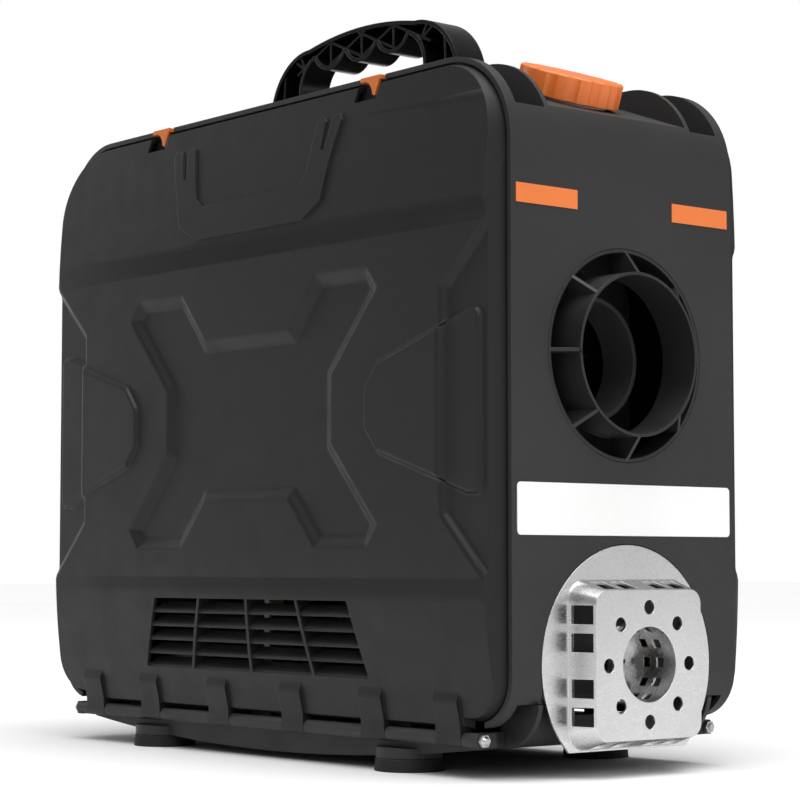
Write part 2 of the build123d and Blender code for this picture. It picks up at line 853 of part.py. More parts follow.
# ---- latches: levers in the top pockets, with noses that drop into the covers' notches
tongue_top = body_top - seat_gap
nose_start = half_width + 0.9
nose_end = nose_start + 2.6
nose_tip = body_top - latch_drop
hub_radius = latch_pin_diameter / 2 + 2


def latch(side, x):
    """One lever at x; side is -1 at the front cover and 1 at the rear one."""
    left, right = x - latch_width / 2, x + latch_width / 2
    heel = (left, tongue_top - tongue_thickness)
    point = (right - 7.5, nose_tip + 1.5)
    with BuildPart() as lever:
        with BuildSketch(end(left)):
            with Locations((side * latch_pivot_y, pivot_z)):
                Circle(hub_radius)
            with Locations((side * latch_pivot_y, (pivot_z + tongue_top) / 2)):
                Rectangle(2 * hub_radius, tongue_top - pivot_z)
            with Locations((side * (latch_pivot_y + nose_end) / 2, tongue_top - tongue_thickness / 2)):
                Rectangle(nose_end - latch_pivot_y, tongue_thickness)
            with Locations((side * latch_pivot_y, pivot_z)):
                Circle(latch_pin_diameter / 2 + running_gap, mode=Mode.SUBTRACT)
        extrude(amount=latch_width)
        # the nose: a plate with a hooked point
        with BuildSketch(front(-nose_start if side < 0 else nose_end)):
            with BuildLine():
                Polyline(heel, (left, tongue_top), (right, tongue_top), (right - 5, nose_tip), point)
                ThreePointArc(point, (x - 1, tongue_top - tongue_thickness - 1.8), heel)
            make_face()
        extrude(amount=nose_end - nose_start)
    return lever.part


latches = {
    "latch_front_left": latch(-1, -latch_x),
    "latch_front_right": latch(-1, latch_x),
    "latch_rear_left": latch(1, -latch_x),
    "latch_rear_right": latch(1, latch_x),
}

with BuildPart() as latch_pins:
    pin_reach = ear_place + ear_thickness / 2 + 0.4
    for side in (-1, 1):
        for x in (-latch_x, latch_x):
            with BuildSketch(end(x - pin_reach)):
                with Locations((side * latch_pivot_y, pivot_z)):
                    Circle(latch_pin_diameter / 2)
            extrude(amount=2 * pin_reach)
latch_pins.part.label = "latch_pins"

# ---- handle: an open channel with a trussed web and a lobed grip ---------------------
handle_base = channel_floor + seat_gap
foot_inner = handle_foot_half - 31.0
flange_end = handle_screws_at[0] + 6.0
flange_thickness = 3.5
crown = (handle_half_span - 39.0, handle_top - 5.4)
elbow_out = (handle_half_span - 12.5, handle_top - 15.3)
elbow_in = (handle_half_span - 35.5, handle_top - 19.8)
knee = (handle_half_span - 31.0, handle_top - 32.8)
lobe_end = (3 * lobe_pitch / 2, groove_high)


def opposite(point):
    """The same point on the other side of the middle."""
    return (-point[0], point[1])


handle_foot_out = (handle_foot_half, handle_base)
handle_foot_in = (foot_inner, handle_base)
shoulder = (handle_half_span, handle_shoulder)
with BuildSketch() as handle_outline:
    with BuildLine():
        Polyline(handle_foot_in, handle_foot_out, shoulder)
        ThreePointArc(shoulder, elbow_out, crown)
        ThreePointArc(crown, (0, handle_top), opposite(crown))
        ThreePointArc(opposite(crown), opposite(elbow_out), opposite(shoulder))
        Polyline(opposite(shoulder), opposite(handle_foot_out), opposite(handle_foot_in), opposite(knee))
        ThreePointArc(opposite(knee), opposite(elbow_in), opposite(lobe_end))
        for lobe in (-lobe_pitch, 0, lobe_pitch):
            ThreePointArc(
                (lobe - lobe_pitch / 2, groove_high), (lobe, lobe_low), (lobe + lobe_pitch / 2, groove_high)
            )
        ThreePointArc(lobe_end, elbow_in, knee)
        Line(knee, handle_foot_in)
    make_face()

strut_top = handle_top - 4.0
strut_low = groove_high - 5.0
grip_struts = [(top, low) for top in (-lobe_pitch, 0, lobe_pitch) for low in (top - 30, top, top + 30)]
struts = [((top, strut_top), (low, strut_low)) for top, low in grip_struts]
for way in (-1, 1):
    struts += [((way * top, strut_top), (way * 57, strut_low)) for top in (65, 78)]
    struts.append(((way * 78, strut_top), (way * 81, handle_base)))
strut_thickness = 1.6
web_thickness = 2.2
web_face = handle_width / 2 - web_thickness
with BuildSketch() as truss:
    for (x1, z1), (x2, z2) in struts:
        with Locations(((x1 + x2) / 2, (z1 + z2) / 2)):
            Rectangle(hypot(x2 - x1, z2 - z1) + 10, strut_thickness, rotation=degrees(atan2(z2 - z1, x2 - x1)))
    add(handle_outline.sketch, mode=Mode.INTERSECT)

with BuildPart() as handle:
    with BuildSketch(front(handle_width / 2)):
        add(handle_outline.sketch)
    extrude(amount=handle_width)
    with BuildSketch(front(web_face)):
        add(handle_outline.sketch)
        offset(amount=-handle_wall)
    extrude(amount=handle_width, mode=Mode.SUBTRACT)
    with BuildSketch(front(web_face)):
        add(truss.sketch)
    extrude(amount=handle_width - web_thickness - 1)
    # flanges on the channel floor
    with BuildSketch(level(handle_base)):
        for way in (-1, 1):
            with Locations((way * (foot_inner + flange_end) / 2, 0)):
                RectangleRounded(flange_end - foot_inner, 2 * handle_screws_at[1] + 10, 4)
    extrude(amount=flange_thickness)
    with BuildSketch(level(handle_base)):
        with GridLocations(2 * handle_screws_at[0], 2 * handle_screws_at[1], 2, 2):
            Circle(bolt_radius + running_gap)
    extrude(amount=flange_thickness, mode=Mode.SUBTRACT)
handle.part.label = "handle"

with BuildPart() as handle_screws:
    with BuildSketch(level(handle_base + flange_thickness)):
        with GridLocations(2 * handle_screws_at[0], 2 * handle_screws_at[1], 2, 2):
            Circle(bolt_radius + 1.9)
    extrude(amount=2.2, taper=20)
    with BuildSketch(level(handle_base + flange_thickness)):
        with GridLocations(2 * handle_screws_at[0], 2 * handle_screws_at[1], 2, 2):
            Circle(bolt_radius)
    extrude(amount=-9)
handle_screws.part.label = "handle_screws"


# ---- hot air outlet: ring, spokes and collar in one moulding --------------------------
def round_wall(x, z, radius, thickness, reach, y=0.0):
    """A tube along X from x; negative reach goes towards -X."""
    with BuildPart() as tube:
        with BuildSketch(end(x)):
            with Locations((y, z)):
                Circle(radius)
                Circle(radius - thickness, mode=Mode.SUBTRACT)
        extrude(amount=reach)
    return tube.part


def radial(x, z, turn):
    """Sheet through an axis along X at height z: its x is X from x, its y the radius."""
    angle = radians(turn)
    return Plane(origin=(body_x + x, 0, z), x_dir=(1, 0, 0), z_dir=(0, -cos(angle), sin(angle)))


ring_start = half_length - outlet_ring_depth
spoke_start = ring_start + 2.8
with BuildPart() as outlet_ring:
    add(round_wall(ring_start, outlet_height, outlet_ring_radius, 2.0, outlet_ring_depth))
    # clip flange behind the lip
    add(round_wall(half_length - wall - 2 - seat_gap, outlet_height, outlet_ring_radius + 3.5, 4.5, -2.0))
    add(round_wall(ring_start + 1, outlet_height, collar_radius, collar_wall, outlet_ring_depth + collar_stand - 1))
    for spoke in range(outlet_spokes):
        with BuildSketch(radial(0, outlet_height, spoke * 360 / outlet_spokes)):
            Polygon(
                (half_length, outlet_ring_radius - 1),
                (half_length + collar_stand, collar_radius - collar_wall / 2),
                (spoke_start, collar_radius - collar_wall / 2),
                (spoke_start, outlet_ring_radius - 1),
                align=None,
            )
        extrude(amount=1, both=True)
outlet_ring.part.label = "outlet_ring"

# ---- air intake: a ringed grille over the fan's mouth ---------------------------------
grille_bar = 2.4
with BuildPart() as intake_grille:
    add(round_wall(-half_length, outlet_height, outlet_ring_radius, 7.4, -2.2))
    add(round_wall(-half_length, outlet_height, intake_radius - seat_gap, 2.1, wall + 2))
    for ring in (13.0, 25.0, 37.0, 49.0):
        add(round_wall(grille_bar - half_length - intake_stand, outlet_height, ring, 1.8, -grille_bar))
    for spoke in range(intake_bars):
        with BuildSketch(radial(-half_length, outlet_height, spoke * 360 / intake_bars)):
            Polygon(
                (-2.2, outlet_ring_radius - 3),
                (-intake_stand, 48.6),
                (-intake_stand, 12),
                (grille_bar - intake_stand, 12),
                (grille_bar - intake_stand, 47),
                (0, 51.6),
                align=None,
            )
        extrude(amount=1, both=True)
intake_grille.part.label = "intake_grille"


# ---- exhaust: a slotted sheet guard, a windowed cage and the pipe inside ---------------
def raised_box(inset):
    """The guard's tapered box as a solid, drawn in by inset."""
    with BuildPart() as block:
        with BuildSketch(end(half_length - shield_sheet - inset)):
            with Locations((0, exhaust_height)):
                RectangleRounded(2 * (shield_base_half - inset), 2 * (shield_base_half - inset), 11 - inset)
        with BuildSketch(end(half_length + shield_depth - inset)):
            with Locations((0, exhaust_height)):
                RectangleRounded(2 * (shield_front_half - inset), 2 * (shield_front_half - inset), 8 - inset)
        loft(ruled=True)
    return block.part


slot_start = half_length + 1.8
slot_depth = shield_depth - shield_sheet - 2.0
with BuildPart() as exhaust_shield:
    with BuildSketch(end(half_length - shield_sheet)):
        with Locations((0, exhaust_height)):
            Circle(shield_radius)
        with Locations((0, shield_flat - shield_radius)):
            Rectangle(4 * shield_radius, 2 * shield_radius, mode=Mode.SUBTRACT)
    extrude(amount=shield_sheet)
    add(raised_box(0))
    add(raised_box(shield_sheet), mode=Mode.SUBTRACT)
    # bore and hole circle in the front, slots in the four sloping sides
    with BuildSketch(end(half_length + shield_depth + 1)):
        with Locations((0, exhaust_height)):
            Circle(shield_bore_radius)
            with PolarLocations(shield_hole_circle, 8):
                Circle(shield_hole_diameter / 2)
    extrude(amount=-3 * shield_sheet, mode=Mode.SUBTRACT)
    with BuildSketch(end(slot_start)):
        for side in (-1, 1):
            for slot in [way * place for way in (-1, 1) for place in shield_slot_places]:
                with Locations((side * shield_base_half, exhaust_height + slot)):
                    Rectangle(18, shield_slot_height)
                with Locations((slot, exhaust_height + side * shield_base_half)):
                    Rectangle(shield_slot_height, 18)
    extrude(amount=slot_depth, mode=Mode.SUBTRACT)
exhaust_shield.part.label = "exhaust_shield"

cage_start = half_length - 22.0
cage_end = half_length + shield_depth - shield_sheet - seat_gap
with BuildPart() as exhaust_cage:
    add(round_wall(cage_start, exhaust_height, cage_inner + cage_wall, cage_wall, cage_end - cage_start))
    with BuildSketch(end(cage_start)):
        with Locations((0, exhaust_height)):
            Circle(cage_inner + cage_wall)
            Circle(exhaust_pipe_radius + seat_gap, mode=Mode.SUBTRACT)
            with PolarLocations((cage_inner + exhaust_pipe_radius) / 2, cage_windows):
                Rectangle(4.6, 2.4, mode=Mode.SUBTRACT)
    extrude(amount=cage_wall)
    for x in (half_length + 3.8, half_length - 6.2):
        for turn in range(cage_windows // 2):
            with BuildSketch(radial(x, exhaust_height, turn * 360 / cage_windows)):
                Rectangle(cage_window, cage_window)
            extrude(amount=2 * cage_inner, both=True, mode=Mode.SUBTRACT)
exhaust_cage.part.label = "exhaust_cage"


def bent_pipe(y, start, corner, finish, bend, radius, bore):
    """A pipe in the sheet at y, straight from start to the bend and on to finish."""
    with BuildPart() as pipe:
        with BuildLine(front(y)) as route:
            FilletPolyline(start, corner, finish, radius=bend)
        with BuildSketch(Plane(origin=route.line @ 0, z_dir=route.line % 0)):
            Circle(radius)
            Circle(bore, mode=Mode.SUBTRACT)
        sweep()
    return pipe.part


core_low = outlet_height - core_half_height
plate_thickness = 2.0
plate_top = core_low - seat_gap
plate_low = plate_top - plate_thickness
port_end = plate_low - 14.0
pipe_top = plate_low - 2.4
port_radius = exhaust_pipe_radius - exhaust_pipe_wall - seat_gap
hose_bore = hose_radius - 1.5
air_port_radius = hose_bore - seat_gap

with BuildPart() as exhaust_pipe:
    add(
        bent_pipe(
            0,
            (pipe_drop_x, pipe_top),
            (pipe_drop_x, exhaust_height),
            (cage_start + 4, exhaust_height),
            pipe_bend,
            exhaust_pipe_radius,
            exhaust_pipe_radius - exhaust_pipe_wall,
        )
    )
exhaust_pipe.part.label = "exhaust_pipe"

with BuildPart() as intake_hose:
    add(
        bent_pipe(
            0,
            (hose_drop_x, pipe_top),
            (hose_drop_x, exhaust_height),
            (silencer_x + silencer_half + seat_gap, exhaust_height),
            pipe_bend,
            hose_radius,
            hose_bore,
        )
    )
intake_hose.part.label = "intake_hose"

# band clamps where the pipe and the hose slip over the core's ports
with BuildPart() as pipe_clamps:
    for x, radius in ((pipe_drop_x, exhaust_pipe_radius), (hose_drop_x, hose_radius)):
        with BuildSketch(level(pipe_top - 9)):
            with Locations((x, 0)):
                Circle(radius + seat_gap + 1.4)
            with Locations((x, -radius - 4)):
                Rectangle(9, 6)
            with Locations((x, 0)):
                Circle(radius + seat_gap, mode=Mode.SUBTRACT)
        extrude(amount=7)
pipe_clamps.part.label = "pipe_clamps"

with BuildPart() as intake_silencer:
    with BuildSketch(front(0)):
        with Locations((0, exhaust_height)):
            Polygon(
                (-half_length - mouth_stand, 0),
                (-half_length - mouth_stand, hose_radius + mouth_collar),
                (-half_length - seat_gap, hose_radius + mouth_collar),
                (-half_length - seat_gap, hose_radius),
                (silencer_x - silencer_half, hose_radius),
                (silencer_x - silencer_half + 5, silencer_radius),
                (silencer_x + silencer_half - 5, silencer_radius),
                (silencer_x + silencer_half, hose_radius),
                (silencer_x + silencer_half, air_port_radius),
                (silencer_x + silencer_half + 12, air_port_radius),
                (silencer_x + silencer_half + 12, 0),
                align=None,
            )
    revolve(axis=Axis((body_x, 0, exhaust_height), (1, 0, 0)))
    # the mouth is a little narrower in its collar, outside the case's wall
    with BuildSketch(end(-half_length - mouth_stand)):
        with Locations((0, exhaust_height)):
            Circle(mouth_radius)
    extrude(amount=mouth_stand, mode=Mode.SUBTRACT)
    with BuildSketch(end(-half_length - seat_gap)):
        with Locations((0, exhaust_height)):
            Circle(hose_bore)
    extrude(amount=half_length + seat_gap + silencer_x - silencer_half + 4, mode=Mode.SUBTRACT)
    with BuildSketch(end(silencer_x + silencer_half + 12)):
        with Locations((0, exhaust_height)):
            Circle(air_port_radius - 1.6)
    extrude(amount=-16, mode=Mode.SUBTRACT)
intake_silencer.part.label = "intake_silencer"


# ---- fuel tank, its filler and straps --------------------------------------------------
def tank_form(inset):
    """The tank's bulk, drawn in by inset; its top follows the case's shoulders."""
    reach = tank_half_length - inset
    top = ceiling - seat_gap - inset
    slope_start = pocket_x - wall - 1 - inset
    slope = (ceiling - shoulder_height + lid_step) / (half_length - pocket_x)
    with BuildSketch() as side_view:
        add(
            mirrored_polygon(
                [
                    (reach, tank_bottom + inset),
                    (reach, top - (reach - slope_start) * slope),
                    (slope_start, top),
                ]
            )
        )
        fillet(side_view.vertices().group_by(Axis.Y)[0], 14 - inset)
    with BuildPart() as block:
        with BuildSketch(front(0)):
            add(side_view.sketch)
        extrude(amount=tank_half_width - inset, both=True)
        with BuildSketch(level(tank_bottom - 1)):
            RectangleRounded(2 * reach, 2 * (tank_half_width - inset), 18 - inset)
        extrude(amount=body_top - tank_bottom, mode=Mode.INTERSECT)
    return block.part


with BuildPart() as tank:
    add(tank_form(0))
    with BuildSketch(cap_seat.offset(neck_stand)):
        Circle(neck_radius)
    extrude(amount=-neck_stand - 14)
    # outlet boss over the fuel filter
    with BuildSketch(level(tank_bottom + 1)):
        with Locations((filter_x, fuel_y)):
            Circle(5)
    extrude(amount=-boss_height - 1)
    add(tank_form(tank_wall), mode=Mode.SUBTRACT)
    with BuildSketch(cap_seat.offset(neck_stand)):
        Circle(neck_radius - neck_wall)
    extrude(amount=-neck_stand - 20, mode=Mode.SUBTRACT)
tank.part.label = "tank"

strap_inner = tank_half_width + seat_gap
strap_outer = strap_inner + strap_thickness
strap_low = tank_bottom - seat_gap
strap_high = ceiling - seat_gap
strap_half = [
    (strap_flange_end, strap_high),
    (strap_flange_end, strap_high - strap_thickness),
    (strap_outer, strap_high - strap_thickness),
    (strap_outer, strap_low - strap_thickness),
]
with BuildPart() as tank_straps:
    for way in (-1, 1):
        with BuildSketch(end(way * strap_x - strap_width / 2)):
            add(mirrored_polygon(strap_half))
            add(
                mirrored_polygon([(strap_inner, strap_high + 1), (strap_inner, strap_low)]),
                mode=Mode.SUBTRACT,
            )
        extrude(amount=strap_width)
    with BuildSketch(level(strap_high)):
        with GridLocations(2 * strap_x, 2 * strap_screw_y, 2, 2):
            Circle(small_bolt_radius + running_gap)
    extrude(amount=-2 * strap_thickness, mode=Mode.SUBTRACT)
tank_straps.part.label = "tank_straps"

with BuildPart() as strap_screws:
    for radius, reach in ((small_bolt_radius + 0.8, -2.0), (small_bolt_radius, strap_thickness + wall - 0.5)):
        with BuildSketch(level(strap_high - strap_thickness)):
            with GridLocations(2 * strap_x, 2 * strap_screw_y, 2, 2):
                Circle(radius)
        extrude(amount=reach)
strap_screws.part.label = "strap_screws"

gasket_base = neck_stand + seat_gap
gasket_top = gasket_base + gasket_thickness
with BuildPart() as cap_gasket:
    with BuildSketch(cap_seat.offset(gasket_base)):
        Circle(cap_inner_radius - seat_gap)
        Circle(neck_radius - neck_wall, mode=Mode.SUBTRACT)
    extrude(amount=gasket_thickness)
cap_gasket.part.label = "cap_gasket"

with BuildPart() as cap:
    with BuildSketch(cap_seat.offset(cap_stand)):
        Circle(cap_diameter / 2)
        with PolarLocations(cap_diameter / 2 + scallop_radius - scallop_depth, cap_scallops):
            Circle(scallop_radius, mode=Mode.SUBTRACT)
    extrude(amount=cap_height)
    crown_face = cap.faces().sort_by(Axis(cap_seat.origin, cap_seat.z_dir))[-1]
    chamfer(crown_face.outer_wire().edges(), 1.0)
    with BuildSketch(cap_seat.offset(cap_stand)):
        Circle(cap_inner_radius)
    extrude(amount=gasket_top + seat_gap - cap_stand, mode=Mode.SUBTRACT)
cap.part.label = "cap"


# ---- heater core: split case, nozzle, fan end and what they hold -----------------------
def core_section(inset):
    """The core case's rounded section across X, drawn in by inset."""
    with BuildSketch() as shape:
        with Locations((0, outlet_height)):
            RectangleRounded(
                2 * (core_half_width - inset), 2 * (core_half_height - inset), core_corner - inset
            )
    return shape.sketch


def core_half(way):
    """One half of the core case; way is 1 above the split and -1 below it."""
    length = core_finish - core_start
    with BuildPart() as half:
        with BuildSketch(end(core_start)):
            add(core_section(0))
        extrude(amount=length)
        with BuildSketch(end(core_start + core_wall)):
            add(core_section(core_wall))
        extrude(amount=length, mode=Mode.SUBTRACT)
        with BuildSketch(end(core_start)):
            with Locations((0, outlet_height)):
                Circle(fan_duct_radius + seat_gap)
            with Locations((0, outlet_height - way * (core_half_height - seat_gap / 2))):
                Rectangle(2 * core_half_width, 2 * core_half_height)
        extrude(amount=core_wall, mode=Mode.SUBTRACT)
        with BuildSketch(end(core_start)):
            with Locations((0, outlet_height - way * (core_half_height - seat_gap / 2))):
                Rectangle(2 * core_half_width, 2 * core_half_height)
        extrude(amount=length, mode=Mode.SUBTRACT)
    return half.part


with BuildPart() as core_upper_case:
    add(core_half(1))
core_upper_case.part.label = "core_upper_case"

with BuildPart() as core_lower_case:
    add(core_half(-1))
    # holes for the exhaust and combustion air ports
    with BuildSketch(level(core_low)):
        with Locations((pipe_drop_x, 0)):
            Circle(port_radius + seat_gap)
        with Locations((hose_drop_x, 0)):
            Circle(air_port_radius + seat_gap)
    extrude(amount=core_wall, mode=Mode.SUBTRACT)
core_lower_case.part.label = "core_lower_case"

clip_thickness = 1.2
with BuildPart() as core_clips:
    with BuildSketch(level(outlet_height - 11)):
        with GridLocations(180, 2 * (core_half_width + seat_gap) + clip_thickness, 2, 2):
            Rectangle(14, clip_thickness)
    extrude(amount=22)
core_clips.part.label = "core_clips"

core_axis = Axis((body_x, 0, outlet_height), (1, 0, 0))
nozzle_base = core_finish + seat_gap
nozzle_neck = nozzle_mouth - nozzle_straight
with BuildPart() as core_nozzle:
    with BuildSketch(end(nozzle_base)):
        add(core_section(0))
    extrude(amount=nozzle_wall)
    with BuildSketch(front(0)):
        with Locations((0, outlet_height)):
            Polygon(
                (nozzle_base, 0),
                (nozzle_base, nozzle_cone_radius),
                (nozzle_base + nozzle_wall, nozzle_cone_radius),
                (nozzle_neck, nozzle_radius),
                (nozzle_mouth, nozzle_radius),
                (nozzle_mouth, 0),
                align=None,
            )
    revolve(axis=core_axis)
    with BuildSketch(front(0)):
        with Locations((0, outlet_height)):
            Polygon(
                (nozzle_base - 1, 0),
                (nozzle_base - 1, nozzle_cone_radius - nozzle_wall),
                (nozzle_base, nozzle_cone_radius - nozzle_wall),
                (nozzle_neck, nozzle_radius - nozzle_wall),
                (nozzle_mouth + 1, nozzle_radius - nozzle_wall),
                (nozzle_mouth + 1, 0),
                align=None,
            )
    revolve(axis=core_axis, mode=Mode.SUBTRACT)
core_nozzle.part.label = "core_nozzle"

duct_start = core_start - 44.0
duct_length = 96.0
with BuildPart() as fan_duct:
    add(round_wall(duct_start, outlet_height, fan_duct_radius, duct_wall, duct_length))
    add(round_wall(core_start - seat_gap, outlet_height, fan_duct_radius + 8, 8 + duct_wall / 2, -2.0))
    # finger guard over the mouth: two rings on a cross
    for ring in (18.0, 36.0):
        add(round_wall(duct_start, outlet_height, ring, duct_wall, 2.4))
    for turn in (0, 90):
        with BuildSketch(radial(duct_start + 1.2, outlet_height, turn)):
            Rectangle(2.4, 2 * fan_duct_radius - duct_wall)
        extrude(amount=1.2, both=True)
fan_duct.part.label = "fan_duct"


def port(x, radius):
    """A stub through the case's floor at x, with a shoulder that rests on the floor."""
    floor = core_low + core_wall + seat_gap
    top = outlet_height - exchanger_radius + 1
    with BuildPart() as stub:
        with BuildSketch(level(port_end)):
            with Locations((x, 0)):
                Circle(radius)
        extrude(amount=top - port_end)
        with BuildSketch(level(floor)):
            with Locations((x, 0)):
                Circle(radius + 3)
        extrude(amount=top - floor)
    return stub.part


def port_bore(x, radius):
    """What the stub's bore takes out, up into the hollow above it."""
    with BuildPart() as drill:
        with BuildSketch(level(port_end)):
            with Locations((x, 0)):
                Circle(radius - port_wall)
        extrude(amount=outlet_height - exchanger_radius / 2 - port_end)
    return drill.part


with BuildPart() as blower_housing:
    add(round_wall(blower_start, outlet_height, blower_radius, blower_wall, blower_end - blower_start))
    add(port(hose_drop_x, air_port_radius))
    with BuildSketch(end(blower_start + 4)):
        with Locations((0, outlet_height)):
            Circle(blower_radius - blower_wall)
    extrude(amount=blower_end - blower_start - 4, mode=Mode.SUBTRACT)
    # the motor's seat, and the wall before the combustion fan
    for x, bore, reach in ((blower_start, motor_radius + seat_gap, 4.0), (motor_end + 2, shaft_radius + 1, 3.0)):
        add(round_wall(x, outlet_height, blower_radius - 1, blower_radius - 1 - bore, reach))
    add(port_bore(hose_drop_x, air_port_radius), mode=Mode.SUBTRACT)
blower_housing.part.label = "blower_housing"

shaft_bore = shaft_radius + running_gap
with BuildPart() as fan_motor:
    with BuildSketch(front(0)):
        with Locations((0, outlet_height)):
            Polygon(
                (motor_start, shaft_bore),
                (motor_start, motor_radius / 2),
                (motor_start + 4, motor_radius / 2),
                (motor_start + 4, motor_radius - 2),
                (motor_start + 6, motor_radius),
                (motor_end - 6, motor_radius),
                (motor_end - 4, motor_radius - 2),
                (motor_end - 4, motor_radius / 2),
                (motor_end, motor_radius / 2),
                (motor_end, shaft_bore),
                align=None,
            )
    revolve(axis=core_axis)
fan_motor.part.label = "fan_motor"

fan_x = -106.0
impeller_x = -16.0
blade_root = fan_hub_radius - 2.0
blade_tip = fan_radius - 0.8
with BuildPart() as fan_rotor:
    # nosed hub, shaft and the combustion fan's disc
    with BuildSketch(front(0)):
        with Locations((0, outlet_height)):
            Polygon(
                (fan_x - 17, 0),
                (fan_x - 17, fan_hub_radius - 9),
                (fan_x - 12, fan_hub_radius),
                (fan_x + 13, fan_hub_radius),
                (fan_x + 13, shaft_radius),
                (impeller_x, shaft_radius),
                (impeller_x, impeller_radius),
                (impeller_x + 2, impeller_radius),
                (impeller_x + 2, shaft_radius),
                (impeller_x + 12, shaft_radius),
                (impeller_x + 12, 0),
                align=None,
            )
    revolve(axis=core_axis)
    # twisted blades
    for blade in range(fan_blades):
        turn = radians(blade * 360 / fan_blades)
        outwards = Vector(0, sin(turn), cos(turn))
        hub = Vector(body_x + fan_x, 0, outlet_height)
        with BuildSketch(Plane(origin=hub + outwards * blade_root, x_dir=(1, 0, 0), z_dir=outwards)):
            Rectangle(20, 2.6, rotation=48)
        with BuildSketch(Plane(origin=hub + outwards * blade_tip, x_dir=(1, 0, 0), z_dir=outwards)):
            Rectangle(25, 1.6, rotation=28)
        loft(ruled=True)
    for blade in range(impeller_blades):
        with BuildSketch(radial(impeller_x + 1, outlet_height, blade * 360 / impeller_blades)):
            with Locations((4.5, 21)):
                Rectangle(9, 2 * (impeller_radius - 21))
        extrude(amount=0.9, both=True)
fan_rotor.part.label = "fan_rotor"

exchanger_start = blower_end + seat_gap
exchanger_bore = exchanger_radius - 3.0
with BuildPart() as heat_exchanger:
    add(round_wall(exchanger_start, outlet_height, blower_radius, blower_radius - exchanger_bore, 3.0))
    add(round_wall(exchanger_start, outlet_height, exchanger_radius, 3.0, exchanger_end - exchanger_start))
    with BuildSketch(end(exchanger_end)):
        with Locations((0, outlet_height)):
            Circle(exchanger_radius - 1)
    extrude(amount=-3)
    for fin in range(exchanger_fins):
        with BuildSketch(radial(exchanger_start + 8, outlet_height, fin * 360 / exchanger_fins)):
            with Locations((fin_length / 2, exchanger_radius + exchanger_fin_height / 2 - 0.5)):
                Rectangle(fin_length, exchanger_fin_height + 1)
        extrude(amount=1, both=True)
    add(port(pipe_drop_x, port_radius))
    with BuildSketch(end(exchanger_start)):
        with Locations((0, outlet_height)):
            Circle(exchanger_bore)
    extrude(amount=exchanger_end - exchanger_start - 3, mode=Mode.SUBTRACT)
    add(port_bore(pipe_drop_x, port_radius), mode=Mode.SUBTRACT)
heat_exchanger.part.label = "heat_exchanger"

burner_start = exchanger_start + 4.0
with BuildPart() as burner_tube:
    # swirl plate with a ring of holes, and the flame tube behind it
    with BuildSketch(end(burner_start)):
        with Locations((0, outlet_height)):
            Circle(exchanger_bore - seat_gap)
            Circle(5, mode=Mode.SUBTRACT)
            with PolarLocations(14, 6):
                Circle(3.2, mode=Mode.SUBTRACT)
    extrude(amount=2)
    add(round_wall(burner_start + 1, outlet_height, burner_radius, burner_wall, burner_length))
burner_tube.part.label = "burner_tube"

# ---- bracket that carries the core on the pan -------------------------------------------
leg_half = 9.0
bracket_from = min(x for x, y in bracket_feet) - leg_half
bracket_to = max(x for x, y in bracket_feet) + leg_half
foot_reach = max(y for x, y in bracket_feet)
foot_plate = bracket_seat + seat_gap
bracket_half = foot_reach - 6.0
apron = plate_low - 14.0
with BuildPart() as core_bracket:
    with BuildSketch(level(plate_low)):
        with Locations(((bracket_from + bracket_to) / 2, 0)):
            Rectangle(bracket_to - bracket_from, 2 * bracket_half)
        with Locations((pipe_drop_x, 0)):
            Circle(port_radius + 1, mode=Mode.SUBTRACT)
        with Locations((hose_drop_x, 0)):
            Circle(air_port_radius + 1, mode=Mode.SUBTRACT)
    extrude(amount=plate_thickness)
    # side walls with two legs each
    for side in (-1, 1):
        with BuildSketch(front(side * (bracket_half - plate_thickness / 2))):
            Polygon(
                (bracket_from, plate_top),
                (bracket_to, plate_top),
                (bracket_to, foot_plate),
                (bracket_to - 2 * leg_half, foot_plate),
                (bracket_to - 2 * leg_half, apron - 12),
                (bracket_to - 2 * leg_half - 12, apron),
                (bracket_from + 2 * leg_half + 12, apron),
                (bracket_from + 2 * leg_half, apron - 12),
                (bracket_from + 2 * leg_half, foot_plate),
                (bracket_from, foot_plate),
                align=None,
            )
        extrude(amount=plate_thickness / 2, both=True)
    for x, y in bracket_feet:
        side = 1 if y > 0 else -1
        with BuildSketch(level(foot_plate)):
            with Locations((x, side * (bracket_half + 6))):
                Rectangle(2 * leg_half, 16)
                Circle(bolt_radius + running_gap, mode=Mode.SUBTRACT)
        extrude(amount=plate_thickness)
core_bracket.part.label = "core_bracket"

with BuildPart() as bracket_screws:
    for radius, reach in ((bolt_radius + 2, 2.4), (bolt_radius, -8.0)):
        with BuildSketch(level(foot_plate + plate_thickness)):
            with Locations(*bracket_feet):
                Circle(radius)
        extrude(amount=reach)
bracket_screws.part.label = "bracket_screws"

# ---- fuel pump with its clamp, filter and lines ------------------------------------------
with BuildPart() as fuel_pump:
    with BuildSketch(front(fuel_y)):
        with Locations((pump_x, pump_height)):
            Polygon(
                (-pump_half, 0),
                (-pump_half, nipple_radius),
                (-pump_half + 15, nipple_radius),
                (-pump_half + 15, 9),
                (-pump_half + 22, 9),
                (-pump_half + 23, pump_radius),
                (pump_half - 20, pump_radius),
                (pump_half - 19, 8),
                (pump_half - 8, 8),
                (pump_half - 8, nipple_radius),
                (pump_half, nipple_radius),
                (pump_half, 0),
                align=None,
            )
    revolve(axis=Axis((body_x, fuel_y, pump_height), (1, 0, 0)))
fuel_pump.part.label = "fuel_pump"

